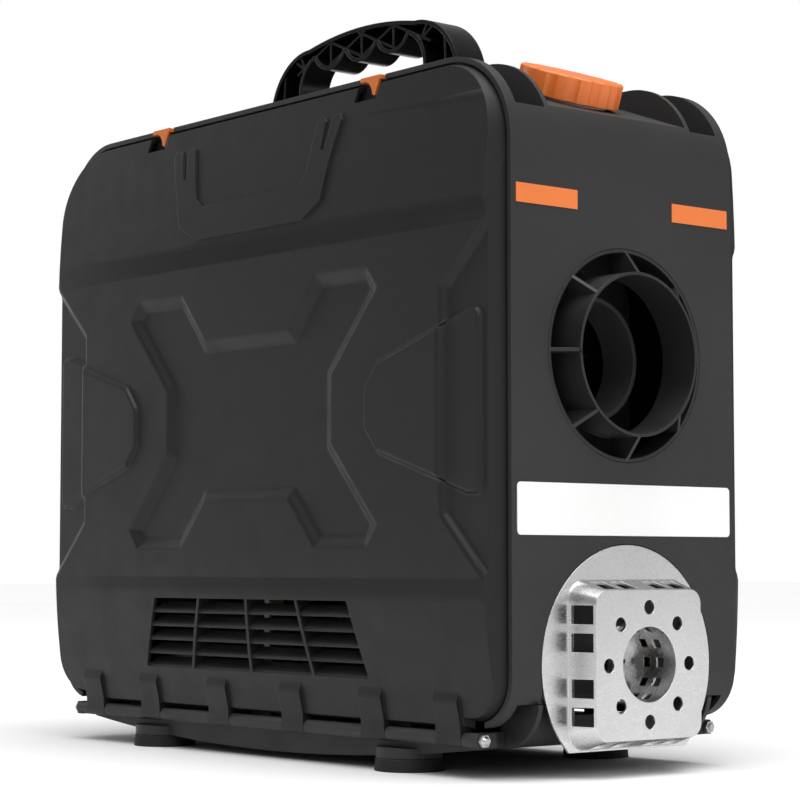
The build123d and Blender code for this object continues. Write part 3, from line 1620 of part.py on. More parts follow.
clamp_radius = pump_radius + seat_gap + pump_clamp_wall
with BuildPart() as pump_clamp:
    with BuildSketch(end(pump_x - 8)):
        with Locations((fuel_y, pump_height)):
            Circle(clamp_radius)
        with Locations((fuel_y, pump_height - clamp_radius + 4)):
            Rectangle(14, 8)
        with Locations((fuel_y, pump_height)):
            Circle(pump_radius + seat_gap, mode=Mode.SUBTRACT)
    extrude(amount=16)
pump_clamp.part.label = "pump_clamp"

with BuildPart() as fuel_filter:
    with BuildSketch(front(fuel_y)):
        with Locations((filter_x, filter_height)):
            Polygon(
                (0, -filter_half),
                (nipple_radius, -filter_half),
                (nipple_radius, 8 - filter_half),
                (9, 13 - filter_half),
                (9, filter_half - 13),
                (nipple_radius, filter_half - 8),
                (nipple_radius, filter_half),
                (0, filter_half),
                align=None,
            )
    revolve(axis=Axis((body_x + filter_x, fuel_y, 0), (0, 0, 1)))
fuel_filter.part.label = "fuel_filter"

filter_top = filter_height + filter_half + seat_gap
filter_foot = filter_height - filter_half - seat_gap
line_bore = fuel_line_radius - 1.0
riser_top = outlet_height - core_half_height + 11.5
with BuildPart() as fuel_lines:
    with BuildSketch(level(filter_top)):
        with Locations((filter_x, fuel_y)):
            Circle(fuel_line_radius)
            Circle(line_bore, mode=Mode.SUBTRACT)
    extrude(amount=tank_bottom - boss_height - seat_gap - filter_top)
    for start, corner, finish in (
        ((filter_x, filter_foot), (filter_x, pump_height), (pump_x - pump_half - seat_gap, pump_height)),
        ((pump_x + pump_half + seat_gap, pump_height), (riser_x, pump_height), (riser_x, riser_top)),
    ):
        add(bent_pipe(fuel_y, start, corner, finish, 12, fuel_line_radius, line_bore))
fuel_lines.part.label = "fuel_lines"

# ---- control unit and power inlet ---------------------------------------------------------
unit_x = (unit_feet[0][0] + unit_feet[1][0]) / 2
unit_y = unit_feet[0][1]
unit_height = 26.0
with BuildPart() as control_unit:
    with BuildSketch(level(unit_seat + seat_gap)):
        with Locations((unit_x, unit_y)):
            RectangleRounded(80, 40, 4)
    extrude(amount=unit_height)
    # cooling grooves along the top
    with BuildSketch(level(unit_seat + seat_gap + unit_height)):
        with Locations((unit_x, unit_y)):
            with GridLocations(0, 6, 1, 6):
                Rectangle(90, 3)
    extrude(amount=-4, mode=Mode.SUBTRACT)
    # plug block
    with BuildSketch(end(unit_x + 39)):
        with Locations((unit_y, unit_seat + 11)):
            Rectangle(26, 13)
    extrude(amount=9)
control_unit.part.label = "control_unit"

with BuildPart() as power_inlet:
    with BuildSketch(end(-half_length)):
        with Locations(inlet_at):
            Circle(inlet_radius + 3.5)
    extrude(amount=-2.2)
    with BuildSketch(end(-half_length)):
        with Locations(inlet_at):
            Circle(inlet_radius)
    extrude(amount=20)
    with BuildSketch(end(-half_length - 2.2)):
        with Locations(inlet_at):
            Circle(inlet_radius - 2)
    extrude(amount=14, mode=Mode.SUBTRACT)
    with BuildSketch(end(-half_length - 1)):
        with Locations(inlet_at):
            with GridLocations(8, 0, 2, 1):
                Circle(1.6)
    extrude(amount=14)
power_inlet.part.label = "power_inlet"

# ---- trim on the outlet end: two coloured strips and a bare label plate --------------------
with BuildPart() as marker_strips:
    with BuildSketch(end(half_length)):
        with GridLocations(strip_inner + strip_outer, 0, 2, 1):
            with Locations((0, (strip_low + strip_high) / 2)):
                Rectangle(strip_outer - strip_inner, strip_high - strip_low)
    extrude(amount=trim_thickness)
marker_strips.part.label = "marker_strips"

with BuildPart() as label_plate:
    with BuildSketch(end(half_length)):
        with Locations((0, (label_low + label_high) / 2)):
            RectangleRounded(2 * label_half, label_high - label_low, 2.5)
    extrude(amount=trim_thickness)
label_plate.part.label = "label_plate"

# ---- files ---------------------------------------------------------------------------------
pieces = [
    housing, base_pan, feet, foot_screws, case_screws, front_cover, rear_cover, hinge_pins, latch_pins,
    handle, handle_screws, outlet_ring, intake_grille, exhaust_shield, exhaust_cage, exhaust_pipe,
    intake_hose, pipe_clamps, intake_silencer, tank, tank_straps, strap_screws, cap_gasket, cap,
    core_upper_case, core_lower_case, core_clips, core_nozzle, fan_duct, blower_housing, fan_motor,
    fan_rotor, heat_exchanger, burner_tube, core_bracket, bracket_screws, fuel_pump, pump_clamp,
    fuel_filter, fuel_lines, control_unit, power_inlet, marker_strips, label_plate,
]
os.makedirs("parts", exist_ok=True)
for piece in pieces:
    export_step(piece.part, f"parts/{piece.part.label}.step")
for name, lever in latches.items():
    lever.label = name
    export_step(lever, f"parts/{name}.step")
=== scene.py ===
import math

import bmesh
import bpy
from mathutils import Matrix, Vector


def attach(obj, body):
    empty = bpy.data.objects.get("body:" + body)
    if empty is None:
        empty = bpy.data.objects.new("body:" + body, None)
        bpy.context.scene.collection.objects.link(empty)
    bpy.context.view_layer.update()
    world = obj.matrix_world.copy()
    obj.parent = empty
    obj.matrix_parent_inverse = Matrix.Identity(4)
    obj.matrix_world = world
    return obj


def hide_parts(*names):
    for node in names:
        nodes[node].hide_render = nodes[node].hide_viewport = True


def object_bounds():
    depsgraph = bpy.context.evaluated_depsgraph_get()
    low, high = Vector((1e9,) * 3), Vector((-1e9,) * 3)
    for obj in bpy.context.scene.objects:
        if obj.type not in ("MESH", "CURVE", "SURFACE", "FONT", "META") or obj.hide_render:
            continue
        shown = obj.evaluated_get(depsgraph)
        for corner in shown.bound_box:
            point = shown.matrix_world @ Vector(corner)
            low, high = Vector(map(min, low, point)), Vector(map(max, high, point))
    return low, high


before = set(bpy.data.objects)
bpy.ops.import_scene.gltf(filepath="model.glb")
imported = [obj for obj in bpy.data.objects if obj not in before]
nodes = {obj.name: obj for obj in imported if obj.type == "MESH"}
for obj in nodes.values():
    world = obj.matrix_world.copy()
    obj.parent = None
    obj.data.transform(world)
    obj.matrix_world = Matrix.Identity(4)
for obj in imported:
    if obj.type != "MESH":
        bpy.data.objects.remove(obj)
cadLow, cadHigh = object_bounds()
print("frame loaded:", len(nodes), "nodes")

# camera and lights

cameraView = {
    "place": (1.1101, -0.90896, 0.1122),  # metres
    "turn": 50.17,  # degrees about the vertical
    "tilt": 4.078,  # degrees above level
    "lens": 105.04,  # millimetres, as the sensor
    "sensor": 36,
    "nearest": 0.01,
    "furthest": 60,
}
bpy.ops.object.select_all(action="DESELECT")
bpy.ops.object.camera_add(
    location=cameraView["place"],
    rotation=(math.radians(90 + cameraView["tilt"]), 0, math.radians(cameraView["turn"])),
)
camera = bpy.context.object
camera.data.lens = cameraView["lens"]
camera.data.sensor_width = cameraView["sensor"]
camera.data.clip_start = cameraView["nearest"]
camera.data.clip_end = cameraView["furthest"]
bpy.context.scene.camera = camera
bpy.context.scene.view_settings.view_transform = "Standard"

studio = {
    "roomSeen": 1.0,  # white behind the heater
    "roomLight": 0.30,  # what the room adds to the light
    "sunPower": 2.7,
    "sunPlace": (0, 0, 2),
    "sunSoftness": 70,  # degrees
    "sunTilt": (10, 16),  # degrees about X, then Y
    "aim": (0, 0, 0.2),  # where the cards point
    "cards": {
        "endCard": {"at": (2.5, 0.7, 1.2), "size": (1.9, 1.5), "power": 8},
        "leftCard": {"at": (-2.4, -0.1, 0.8), "size": (1.4, 1.4), "power": 9},
        "topCard": {"at": (0.3, 0.1, 2.4), "size": (1.4, 1.4), "power": 12},
        "nearCard": {"at": (1.9, -2.0, 1.3), "size": (1.2, 1.2), "power": 6},
    },
}
world = bpy.data.worlds.new("paleRoom")
bpy.context.scene.world = world
world.use_nodes = True
roomTree = world.node_tree
roomBack = roomTree.nodes["Background"]
roomBack.inputs["Color"].default_value = (1, 1, 1, 1)
roomPath = roomTree.nodes.new("ShaderNodeLightPath")
roomLevel = roomTree.nodes.new("ShaderNodeMapRange")
roomLevel.inputs["To Min"].default_value = studio["roomLight"]
roomLevel.inputs["To Max"].default_value = studio["roomSeen"]
roomTree.links.new(roomPath.outputs["Is Camera Ray"], roomLevel.inputs["Value"])
roomTree.links.new(roomLevel.outputs["Result"], roomBack.inputs["Strength"])

sunTurn = [math.radians(a) for a in (*studio["sunTilt"], 0)]
bpy.ops.object.light_add(type="SUN", location=studio["sunPlace"], rotation=sunTurn)
bpy.context.object.name = "softSun"
bpy.context.object.data.energy = studio["sunPower"]
bpy.context.object.data.angle = math.radians(studio["sunSoftness"])
for cardName, card in studio["cards"].items():
    way = Vector(studio["aim"]) - Vector(card["at"])
    turned = way.to_track_quat("-Z", "Y").to_euler()
    bpy.ops.object.light_add(type="AREA", location=card["at"], rotation=turned)
    lamp = bpy.context.object
    lamp.name = cardName
    lamp.data.shape = "RECTANGLE"
    lamp.data.size, lamp.data.size_y = card["size"]
    lamp.data.energy = card["power"]
print("camera and lights set")

# shared effects, each one a node group


def startGroup(name, inputs, outputs):
    group = bpy.data.node_groups.new(name, "ShaderNodeTree")
    for label, kind, value in inputs:
        socket = group.interface.new_socket(name=label, in_out="INPUT", socket_type=kind)
        socket.default_value = value
    for label, kind in outputs:
        group.interface.new_socket(name=label, in_out="OUTPUT", socket_type=kind)
    return group, group.nodes.new("NodeGroupInput"), group.nodes.new("NodeGroupOutput")


def addNode(tree, kind, links=(), **values):
    # values go to properties of that name; links are (input, a socket or a number)
    node = tree.nodes.new(kind)
    for key, value in values.items():
        setattr(node, key, value)
    for place, value in links:
        if isinstance(value, bpy.types.NodeSocket):
            tree.links.new(value, node.inputs[place])
        else:
            node.inputs[place].default_value = value
    return node


def calc(tree, operation, first, second, clamp=False):
    links = [(0, first), (1, second)]
    return addNode(tree, "ShaderNodeMath", links, operation=operation, use_clamp=clamp).outputs[0]


def between(tree, value, low, high, fromLow=0.0, fromHigh=1.0):
    # value runs fromLow to fromHigh, and what comes out runs low to high
    ends = [("From Min", fromLow), ("From Max", fromHigh), ("To Min", low), ("To Max", high)]
    return addNode(tree, "ShaderNodeMapRange", [("Value", value), *ends]).outputs["Result"]


def blendColour(tree, share, first, second):
    links = [(0, share), (6, first), (7, second)]
    return addNode(tree, "ShaderNodeMix", links, data_type="RGBA").outputs[2]


def noise(tree, where, scale, detail, rough):
    links = [("Vector", where), ("Scale", scale), ("Detail", detail), ("Roughness", rough)]
    return addNode(tree, "ShaderNodeTexNoise", links).outputs["Fac"]


def onPiece(tree):
    # the pattern's place, fixed to the piece
    return addNode(tree, "ShaderNodeTexCoord").outputs["Object"]


def buildGrain():
    # spark-etched skin of a mould: fine noise with small pits
    group, given, out = startGroup(
        "mouldGrain",
        [("Fineness", "NodeSocketFloat", 1500.0), ("Pits", "NodeSocketFloat", 0.4)],
        [("Height", "NodeSocketFloat"), ("Mottle", "NodeSocketFloat")],
    )
    look = {"pitSize": 0.55, "mottle": 42.0}  # pitSize is a share of the grain's fineness
    where = onPiece(group)
    fine = noise(group, where, given.outputs["Fineness"], detail=3.0, rough=0.65)
    pitScale = calc(group, "MULTIPLY", given.outputs["Fineness"], look["pitSize"])
    pits = addNode(group, "ShaderNodeTexVoronoi", [("Vector", where), ("Scale", pitScale)])
    pitDepth = calc(group, "MULTIPLY", pits.outputs["Distance"], given.outputs["Pits"])
    group.links.new(calc(group, "ADD", fine, pitDepth), out.inputs["Height"])
    cloudy = noise(group, where, look["mottle"], detail=4.0, rough=0.6)
    mottle = between(group, cloudy, 0.0, 1.0, fromLow=0.3, fromHigh=0.7)
    group.links.new(mottle, out.inputs["Mottle"])
    return group


def buildWearHighlight():
    # lighter, smoother line along the edges, partly handling wear and partly a painted highlight, and the
    # edge's own roundness
    group, given, out = startGroup(
        "edgeWearHighlight",
        [
            ("Radius", "NodeSocketFloat", 0.0008),
            ("Reach", "NodeSocketFloat", 2.0),
            ("Breakup", "NodeSocketFloat", 60.0),
        ],
        [("Mask", "NodeSocketFloat"), ("Normal", "NodeSocketVector")],
    )
    rounded = addNode(group, "ShaderNodeBevel", [("Radius", given.outputs["Radius"])], samples=4)
    plain = addNode(group, "ShaderNodeNewGeometry").outputs["Normal"]
    normals = [(0, rounded.outputs["Normal"]), (1, plain)]
    same = addNode(group, "ShaderNodeVectorMath", normals, operation="DOT_PRODUCT")
    turned = calc(group, "SUBTRACT", 1.0, same.outputs["Value"])
    wornHighlit = calc(group, "MULTIPLY", turned, given.outputs["Reach"], clamp=True)
    broken = noise(group, onPiece(group), given.outputs["Breakup"], detail=5.0, rough=0.7)
    patch = between(group, broken, 0.25, 1.0, fromLow=0.35, fromHigh=0.65)
    group.links.new(calc(group, "MULTIPLY", wornHighlit, patch), out.inputs["Mask"])
    group.links.new(rounded.outputs["Normal"], out.inputs["Normal"])
    return group


def buildDust():
    # dust that lies on what faces up
    group, given, out = startGroup(
        "lyingDust",
        [("Amount", "NodeSocketFloat", 0.2), ("Patch", "NodeSocketFloat", 25.0)],
        [("Mask", "NodeSocketFloat")],
    )
    facing = addNode(group, "ShaderNodeNewGeometry").outputs["Normal"]
    up = addNode(group, "ShaderNodeSeparateXYZ", [("Vector", facing)]).outputs["Z"]
    upward = between(group, up, 0.0, 1.0, fromLow=0.3, fromHigh=0.95)
    patchy = noise(group, onPiece(group), given.outputs["Patch"], detail=6.0, rough=0.65)
    patch = between(group, patchy, 0.2, 1.0, fromLow=0.35, fromHigh=0.7)
    settled = calc(group, "MULTIPLY", upward, patch)
    dusty = calc(group, "MULTIPLY", settled, given.outputs["Amount"], clamp=True)
    group.links.new(dusty, out.inputs["Mask"])
    return group


def buildDrift():
    # colour that drifts a little over the surface, with small specks
    group, given, out = startGroup(
        "shadeDrift",
        [
            ("Dark", "NodeSocketColor", (0.02, 0.02, 0.02, 1)),
            ("Light", "NodeSocketColor", (0.04, 0.04, 0.04, 1)),
            ("Cloud", "NodeSocketFloat", 9.0),
            ("Speck", "NodeSocketFloat", 900.0),
        ],
        [("Color", "NodeSocketColor")],
    )
    where = onPiece(group)
    cloudy = noise(group, where, given.outputs["Cloud"], detail=3.0, rough=0.55)
    cloud = between(group, cloudy, 0.0, 0.75, fromLow=0.3, fromHigh=0.7)
    specked = noise(group, where, given.outputs["Speck"], detail=1.0, rough=0.5)
    speck = between(group, specked, 0.0, 0.25, fromLow=0.4, fromHigh=0.7)
    share = calc(group, "ADD", cloud, speck, clamp=True)
    shade = blendColour(group, share, given.outputs["Dark"], given.outputs["Light"])
    group.links.new(shade, out.inputs["Color"])
    return group


def buildRolled():
    # fine lines left by rolling or brushing, stretched along one way
    group, given, out = startGroup(
        "rolledLines",
        [("Stretch", "NodeSocketVector", (1, 1, 1)), ("Fineness", "NodeSocketFloat", 120.0)],
        [("Height", "NodeSocketFloat"), ("Streak", "NodeSocketFloat")],
    )
    blotchScale = 28.0
    where = onPiece(group)
    stretch = [(0, where), (1, given.outputs["Stretch"])]
    drawn = addNode(group, "ShaderNodeVectorMath", stretch, operation="MULTIPLY")
    lines = noise(group, drawn.outputs["Vector"], given.outputs["Fineness"], detail=5.0, rough=0.7)
    blotch = noise(group, where, blotchScale, detail=4.0, rough=0.6)
    group.links.new(lines, out.inputs["Height"])
    clear = between(group, lines, 0.0, 1.0, fromLow=0.3, fromHigh=0.7)
    group.links.new(calc(group, "MULTIPLY", clear, blotch), out.inputs["Streak"])
    return group


grainGroup = buildGrain()
wearHighlightGroup = buildWearHighlight()
dustGroup = buildDust()
driftGroup = buildDrift()
rolledGroup = buildRolled()
print("shared effects built")


def useGroup(tree, group, **values):
    node = tree.nodes.new("ShaderNodeGroup")
    node.node_tree = group
    for key, value in values.items():
        node.inputs[key].default_value = value
    return node


def four(colour):
    return (*colour, 1.0)


# finishes


def startFinish(name):
    material = bpy.data.materials.new(name)
    material.use_nodes = True
    tree = material.node_tree
    return material, tree, tree.nodes["Principled BSDF"]


def drifting(tree, look):
    shades = {"Dark": four(look["dark"]), "Light": four(look["light"])}
    return useGroup(tree, driftGroup, Cloud=look["cloud"], Speck=look["speck"], **shades)


def edgeOf(tree, look):
    return useGroup(tree, wearHighlightGroup, Radius=look["edge"], Reach=look["wearHighlight"], Breakup=look["breakup"])


def addBump(tree, shader, height, normal, look):
    links = [("Height", height), ("Normal", normal), ("Strength", look["bump"]), ("Distance", look["depth"])]
    bump = addNode(tree, "ShaderNodeBump", links)
    tree.links.new(bump.outputs["Normal"], shader.inputs["Normal"])


def mouldedPlastic(name, look):
    material, tree, shader = startFinish(name)
    drift = drifting(tree, look)
    wearHighlight = edgeOf(tree, look)
    grain = useGroup(tree, grainGroup, Fineness=look["grain"], Pits=look["pits"])
    dust = useGroup(tree, dustGroup, Amount=look["dust"], Patch=look["patch"])
    # edges lightened by the edge mask: partly wear, partly a painted highlight
    wornAndHighlit = blendColour(tree, wearHighlight.outputs["Mask"], drift.outputs["Color"], four(look["wornHighlit"]))
    dusty = blendColour(tree, dust.outputs["Mask"], wornAndHighlit, four(look["dustColour"]))
    tree.links.new(dusty, shader.inputs["Base Color"])
    skin = between(tree, grain.outputs["Mottle"], *look["rough"])
    polished = calc(tree, "MULTIPLY", wearHighlight.outputs["Mask"], look["polish"])
    dulled = calc(tree, "MULTIPLY", dust.outputs["Mask"], look["dulling"])
    roughness = calc(tree, "ADD", calc(tree, "ADD", skin, polished), dulled, clamp=True)
    tree.links.new(roughness, shader.inputs["Roughness"])
    addBump(tree, shader, grain.outputs["Height"], wearHighlight.outputs["Normal"], look)
    shader.inputs["IOR"].default_value = look["ior"]
    shader.inputs["Specular IOR Level"].default_value = look["shine"]
    shader.inputs["Subsurface Weight"].default_value = look["soft"]
    shader.inputs["Subsurface Scale"].default_value = look["softDepth"]
    return material


def sheetMetal(name, look):
    material, tree, shader = startFinish(name)
    drift = drifting(tree, look)
    wearHighlight = edgeOf(tree, look)
    rolled = useGroup(tree, rolledGroup, Stretch=look["stretch"], Fineness=look["lines"])
    # edges lightened by the edge mask: partly wear, partly a painted highlight
    bright = blendColour(tree, wearHighlight.outputs["Mask"], drift.outputs["Color"], four(look["wornHighlit"]))
    share = calc(tree, "MULTIPLY", rolled.outputs["Streak"], look["streak"])
    streaked = blendColour(tree, share, bright, four(look["streakColour"]))
    tree.links.new(streaked, shader.inputs["Base Color"])
    roughness = between(tree, rolled.outputs["Streak"], *look["rough"], fromLow=0.1, fromHigh=0.6)
    tree.links.new(roughness, shader.inputs["Roughness"])
    addBump(tree, shader, rolled.outputs["Height"], wearHighlight.outputs["Normal"], look)
    shader.inputs["Metallic"].default_value = 1.0
    return material


# what a finish has unless it says otherwise; lengths are in metres
anyFinish = {"cloud": 9.0, "speck": 900.0, "breakup": 55.0}
anyPlastic = {
    **anyFinish, "edge": 0.0007, "wearHighlight": 1.6, "grain": 1500.0, "pits": 0.4, "bump": 0.25, "depth": 0.0003,
    "dust": 0.12, "patch": 22.0, "dustColour": (0.30, 0.29, 0.27), "polish": -0.12, "dulling": 0.3,
    "ior": 1.5, "shine": 0.4, "soft": 0.0, "softDepth": 0.002,
}
# the lighter edge colour of each finish is partly wear and partly a painted highlight
plastics = {
    "casePlastic": {
        "dark": (0.018, 0.018, 0.019), "light": (0.027, 0.027, 0.028), "wornHighlit": (0.070, 0.070, 0.071),
        "rough": (0.46, 0.60), "shine": 0.36,
    },
    "coverPlastic": {
        "dark": (0.0086, 0.0086, 0.0089), "light": (0.0110, 0.0110, 0.0114), "wornHighlit": (0.046, 0.046, 0.047),
        "rough": (0.40, 0.54), "edge": 0.0009, "dust": 0.07, "shine": 0.29,
    },
    "handlePlastic": {
        "dark": (0.0030, 0.0030, 0.0030), "light": (0.0055, 0.0055, 0.0055), "wornHighlit": (0.030, 0.030, 0.030),
        "rough": (0.15, 0.25), "grain": 1900.0, "bump": 0.10, "dust": 0.05, "shine": 0.3,
    },
    "latchPlastic": {
        "dark": (0.50, 0.120, 0.018), "light": (0.62, 0.160, 0.026), "wornHighlit": (0.74, 0.25, 0.07),
        "rough": (0.30, 0.42), "edge": 0.0003, "dust": 0.05, "shine": 0.5, "soft": 0.08,
    },
    "grillePlastic": {
        "dark": (0.012, 0.012, 0.012), "light": (0.020, 0.020, 0.020), "wornHighlit": (0.080, 0.080, 0.080),
        "rough": (0.34, 0.48), "edge": 0.0005, "grain": 1700.0, "bump": 0.18,
    },
    "ductPlastic": {
        "dark": (0.026, 0.026, 0.027), "light": (0.044, 0.044, 0.045), "wornHighlit": (0.100, 0.100, 0.100),
        "rough": (0.44, 0.60), "grain": 800.0, "bump": 0.35, "dust": 0.22,
    },
    "fanPlastic": {
        "dark": (0.050, 0.052, 0.056), "light": (0.078, 0.080, 0.086), "wornHighlit": (0.140, 0.140, 0.145),
        "rough": (0.36, 0.50), "edge": 0.0003, "grain": 1200.0, "bump": 0.2,
    },
    "controlBox": {
        "dark": (0.034, 0.036, 0.040), "light": (0.050, 0.053, 0.058), "wornHighlit": (0.110, 0.112, 0.118),
        "rough": (0.50, 0.66), "edge": 0.0005, "grain": 500.0, "pits": 0.7, "bump": 0.4,
    },
    "socketPlastic": {
        "dark": (0.007, 0.007, 0.008), "light": (0.012, 0.012, 0.013), "wornHighlit": (0.060, 0.060, 0.060),
        "rough": (0.30, 0.42), "edge": 0.0003, "grain": 1600.0, "bump": 0.12,
    },
    "filterBowl": {
        "dark": (0.66, 0.58, 0.36), "light": (0.78, 0.71, 0.50), "wornHighlit": (0.84, 0.80, 0.66),
        "rough": (0.18, 0.30), "edge": 0.0003, "grain": 300.0, "bump": 0.08, "dust": 0.06, "soft": 0.4,
    },
    "airHose": {
        "dark": (0.016, 0.016, 0.017), "light": (0.030, 0.030, 0.031), "wornHighlit": (0.070, 0.070, 0.070),
        "rough": (0.56, 0.74), "grain": 620.0, "bump": 0.45, "dust": 0.22,
    },
    "fuelHose": {
        "dark": (0.008, 0.008, 0.009), "light": (0.015, 0.015, 0.016), "wornHighlit": (0.050, 0.050, 0.050),
        "rough": (0.38, 0.52), "edge": 0.0003, "grain": 1400.0, "bump": 0.15,
    },
    "sealRubber": {
        "dark": (0.020, 0.018, 0.017), "light": (0.032, 0.029, 0.027), "wornHighlit": (0.060, 0.056, 0.054),
        "rough": (0.62, 0.78), "edge": 0.0002, "bump": 0.2, "shine": 0.25,
    },
    "orangePlastic": {
        "dark": (0.78, 0.170, 0.026), "light": (0.94, 0.235, 0.043), "wornHighlit": (0.98, 0.36, 0.12),
        "rough": (0.34, 0.46), "dust": 0.05, "shine": 0.5, "soft": 0.08,
    },
    "orangeTape": {
        "dark": (0.74, 0.180, 0.039), "light": (0.84, 0.220, 0.054), "wornHighlit": (0.94, 0.36, 0.15),
        "rough": (0.42, 0.54), "edge": 0.0002, "grain": 700.0, "bump": 0.08, "dust": 0.03,
    },
    "labelFilm": {
        "dark": (0.86, 0.86, 0.85), "light": (0.93, 0.93, 0.93), "wornHighlit": (0.96, 0.96, 0.96),
        "rough": (0.40, 0.52), "edge": 0.0002, "grain": 600.0, "bump": 0.06, "dust": 0.03,
    },
    "tankPlastic": {
        "dark": (0.62, 0.60, 0.53), "light": (0.74, 0.72, 0.65), "wornHighlit": (0.80, 0.78, 0.72),
        "rough": (0.40, 0.55), "grain": 420.0, "bump": 0.2, "dust": 0.15, "soft": 0.25,
    },
    "softRubber": {
        "dark": (0.012, 0.012, 0.012), "light": (0.022, 0.022, 0.021), "wornHighlit": (0.040, 0.040, 0.039),
        "rough": (0.70, 0.86), "grain": 1100.0, "bump": 0.3, "dust": 0.25, "shine": 0.25,
    },
}
# the lighter edge colour of each finish is partly wear and partly a painted highlight
metals = {
    "stainless": {
        "dark": (0.66, 0.66, 0.66), "light": (0.80, 0.80, 0.80), "wornHighlit": (0.92, 0.92, 0.92),
        "streakColour": (0.62, 0.62, 0.63), "stretch": (1.0, 0.25, 1.0), "lines": 700.0, "streak": 0.3,
        "rough": (0.26, 0.38), "bump": 0.04, "depth": 0.0001, "edge": 0.0006, "wearHighlight": 1.2,
    },
    "zincSteel": {
        "dark": (0.50, 0.50, 0.50), "light": (0.64, 0.64, 0.62), "wornHighlit": (0.80, 0.80, 0.80),
        "streakColour": (0.42, 0.43, 0.42), "stretch": (1.0, 1.0, 0.4), "lines": 500.0, "streak": 0.6,
        "rough": (0.30, 0.48), "bump": 0.12, "depth": 0.0002, "edge": 0.0003, "wearHighlight": 1.4,
    },
    "hotPipe": {
        "dark": (0.36, 0.29, 0.21), "light": (0.60, 0.52, 0.42), "wornHighlit": (0.74, 0.70, 0.64),
        "streakColour": (0.19, 0.21, 0.33), "stretch": (0.5, 1.0, 1.0), "lines": 260.0, "streak": 0.8,
        "rough": (0.32, 0.52), "bump": 0.15, "depth": 0.0002, "edge": 0.0004, "wearHighlight": 1.4, "cloud": 60.0,
    },
    "pressedCase": {
        "dark": (0.30, 0.30, 0.31), "light": (0.42, 0.42, 0.42), "wornHighlit": (0.66, 0.66, 0.66),
        "streakColour": (0.24, 0.24, 0.25), "stretch": (0.3, 1.0, 1.0), "lines": 700.0, "streak": 0.5,
        "rough": (0.34, 0.50), "bump": 0.12, "depth": 0.0002, "edge": 0.0004, "wearHighlight": 1.4,
    },
    "castAluminium": {
        "dark": (0.46, 0.46, 0.47), "light": (0.58, 0.58, 0.58), "wornHighlit": (0.76, 0.76, 0.76),
        "streakColour": (0.36, 0.36, 0.36), "stretch": (1.0, 1.0, 1.0), "lines": 420.0, "streak": 0.5,
        "rough": (0.42, 0.62), "bump": 0.35, "depth": 0.0004, "edge": 0.0008, "wearHighlight": 1.2,
    },
}
finishes = {}
for finish, look in plastics.items():
    finishes[finish] = mouldedPlastic(finish, {**anyPlastic, **look})
for finish, look in metals.items():
    finishes[finish] = sheetMetal(finish, {**anyFinish, **look})
print("finishes made:", len(finishes))

slotFinish = {
    "case_plastic": "casePlastic", "cover_plastic": "coverPlastic", "trim_plastic": "ductPlastic",
    "orange_plastic": "orangePlastic", "orange_tape": "orangeTape", "label_film": "labelFilm",
    "tank_plastic": "tankPlastic", "stainless": "stainless", "zinc_steel": "zincSteel",
    "cast_aluminium": "castAluminium", "soft_rubber": "softRubber",
}
# nodes whose finish differs from the rest of their slot
nodeFinish = {
    "latch_front_left": "latchPlastic", "latch_front_right": "latchPlastic",
    "latch_rear_left": "latchPlastic", "latch_rear_right": "latchPlastic",
    "handle": "handlePlastic", "outlet_ring": "grillePlastic", "intake_grille": "grillePlastic",
    "fan_rotor": "fanPlastic", "control_unit": "controlBox", "power_inlet": "socketPlastic",
    "fuel_filter": "filterBowl", "intake_hose": "airHose", "fuel_lines": "fuelHose",
    "cap_gasket": "sealRubber", "exhaust_pipe": "hotPipe", "burner_tube": "hotPipe",
    "fan_motor": "pressedCase", "fuel_pump": "pressedCase",
}
for name, node in nodes.items():
    for held in node.material_slots:
        slotName = held.material.name.split(".")[0]
        held.material = finishes[nodeFinish.get(name) or slotFinish[slotName]]
print("finishes on nodes")

# moulded pieces, copied from the frame with their edges rounded


def selectOnly(piece):
    bpy.ops.object.select_all(action="DESELECT")
    piece.select_set(True)
    bpy.context.view_layer.objects.active = piece


def takeCopy(name, node, body, wholeFaces):
    # the node's loose triangles joined into one skin again; lengths in metres
    joining = {"merge": 0.00001, "flat": 0.4}  # flat is in degrees
    piece = bpy.data.objects.new(name, nodes[node].data.copy())
    bpy.context.collection.objects.link(piece)
    selectOnly(piece)
    bpy.ops.mesh.customdata_custom_splitnormals_clear()
    bpy.ops.object.mode_set(mode="EDIT")
    bpy.ops.mesh.select_all(action="SELECT")
    bpy.ops.mesh.remove_doubles(threshold=joining["merge"])
    bpy.ops.mesh.dissolve_limited(angle_limit=math.radians(joining["flat"]))
    if not wholeFaces:
        # a bevel folds a face that has an inward corner, so such faces are split
        bpy.ops.mesh.vert_connect_concave()
    bpy.ops.object.mode_set(mode="OBJECT")
    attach(piece, body)
    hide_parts(node)
    return piece


def roomBeside(edge):
    # how far the two faces reach from the edge, which limits its rounding
    start = edge.verts[0].co
    along = (edge.verts[1].co - start).normalized()
    reach = []
    for face in edge.link_faces:
        reach.append(max(((v.co - start) - along * (v.co - start).dot(along)).length for v in face.verts))
    return min(reach)


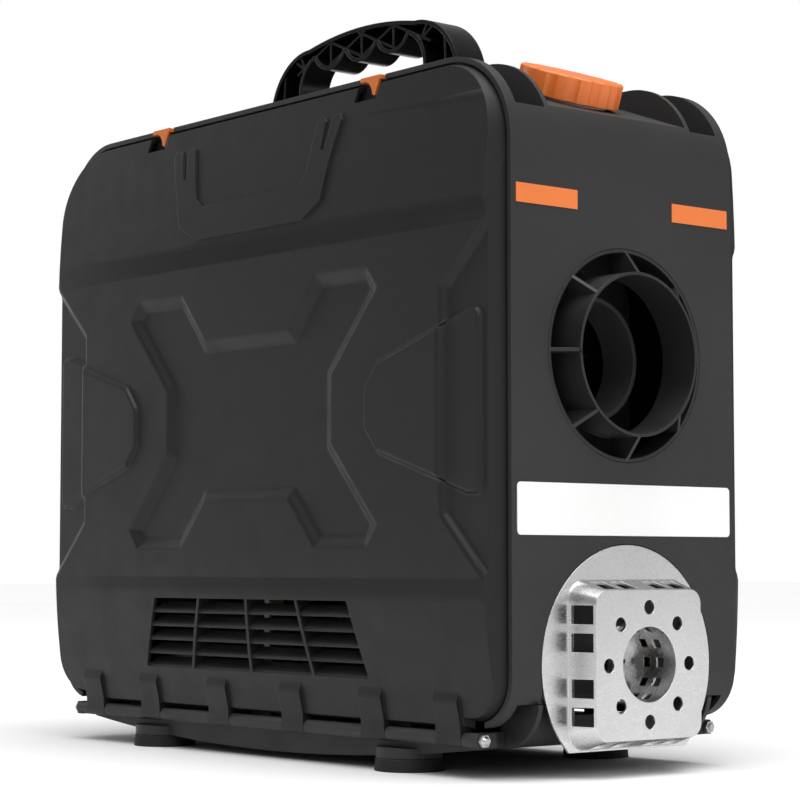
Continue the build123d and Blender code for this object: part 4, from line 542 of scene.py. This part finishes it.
def roundEdges(piece, shape, outward=None):
    # outward keeps the rounding to edges whose faces look that way
    skin = bmesh.new()
    skin.from_mesh(piece.data)
    weight = skin.edges.layers.float.new("bevel_weight_edge")
    least, most = (math.radians(angle) for angle in shape["turns"])
    count = 0
    for edge in skin.edges:
        if len(edge.link_faces) != 2 or edge.calc_length() < shape["shortest"]:
            continue
        if not least < edge.calc_face_angle(0.0) < most:
            continue
        if outward and any(face.normal.dot(outward) < shape["faced"] for face in edge.link_faces):
            continue
        room = roomBeside(edge) * shape["share"]
        if room < shape["leastRoom"]:
            continue
        edge[weight] = min(1.0, room / shape["width"])
        count += 1
    skin.to_mesh(piece.data)
    skin.free()
    rounding = piece.modifiers.new("rounding", "BEVEL")
    rounding.limit_method = "WEIGHT"
    rounding.offset_type = "OFFSET"
    rounding.width = shape["width"]
    rounding.segments = shape["segments"]
    rounding.use_clamp_overlap = False
    rounding.loop_slide = False
    rounding.miter_outer = "MITER_SHARP"
    evening = piece.modifiers.new("evening", "WEIGHTED_NORMAL")
    evening.keep_sharp = True
    selectOnly(piece)
    bpy.ops.object.modifier_apply(modifier="rounding")
    bpy.ops.object.shade_smooth_by_angle(angle=math.radians(shape["smooth"]))
    bpy.ops.object.modifier_apply(modifier="evening")
    print(piece.name, "edges rounded:", count, "faces:", len(piece.data.polygons))


# turns are the angles in degrees at which an edge is rounded, share is the part of the
# room beside an edge that its rounding may take
coverShape = {
    "width": 0.0019, "segments": 4, "share": 0.36, "turns": (8, 115), "faced": 0.3, "smooth": 40,
    "shortest": 0.00002, "leastRoom": 0.00006,
}
for side, outward in (("front", -1), ("rear", 1)):
    cover = takeCopy(side + "CoverSkin", side + "_cover", side + "_cover", True)
    roundEdges(cover, coverShape, Vector((0, outward, 0)))

edgeShape = {
    "width": 0.0006, "segments": 2, "share": 0.12, "turns": (35, 105), "smooth": 42,
    "shortest": 0.00002, "leastRoom": 0.00006,
}
outlet = takeCopy("airOutlet", "outlet_ring", "case", False)
roundEdges(outlet, edgeShape)

capShape = {**edgeShape, "turns": (50, 100), "share": 0.18}
fillerCap = takeCopy("fillerCap", "cap", "cap", True)
roundEdges(fillerCap, capShape)

padFeet = takeCopy("padFeet", "feet", "case", False)
roundEdges(padFeet, edgeShape)

tabShape = {**edgeShape, "turns": (28, 112), "share": 0.25}
for side in ("front", "rear"):
    for hand in ("left", "right"):
        latch = f"latch_{side}_{hand}"
        tab = takeCopy(side + hand.title() + "Tab", latch, latch, False)
        roundEdges(tab, tabShape)
print("edges rounded on covers, outlet, cap, feet and latches")

# floor

floorLook = {
    "size": 24,  # metres
    "dark": (0.84, 0.84, 0.84), "light": (0.88, 0.88, 0.88), "cloud": 1.5, "speck": 300.0,
    "rough": 0.9, "shine": 0.0,
}
bpy.ops.object.select_all(action="DESELECT")
bpy.ops.mesh.primitive_plane_add(size=floorLook["size"], location=(0, 0, cadLow.z))
floor = bpy.context.object
floor.name = "paleFloor"
floorFinish, floorTree, floorShader = startFinish("paleFloor")
floorDrift = drifting(floorTree, floorLook)
floorTree.links.new(floorDrift.outputs["Color"], floorShader.inputs["Base Color"])
floorShader.inputs["Roughness"].default_value = floorLook["rough"]
floorShader.inputs["Specular IOR Level"].default_value = floorLook["shine"]
floor.data.materials.append(floorFinish)
print("floor laid")
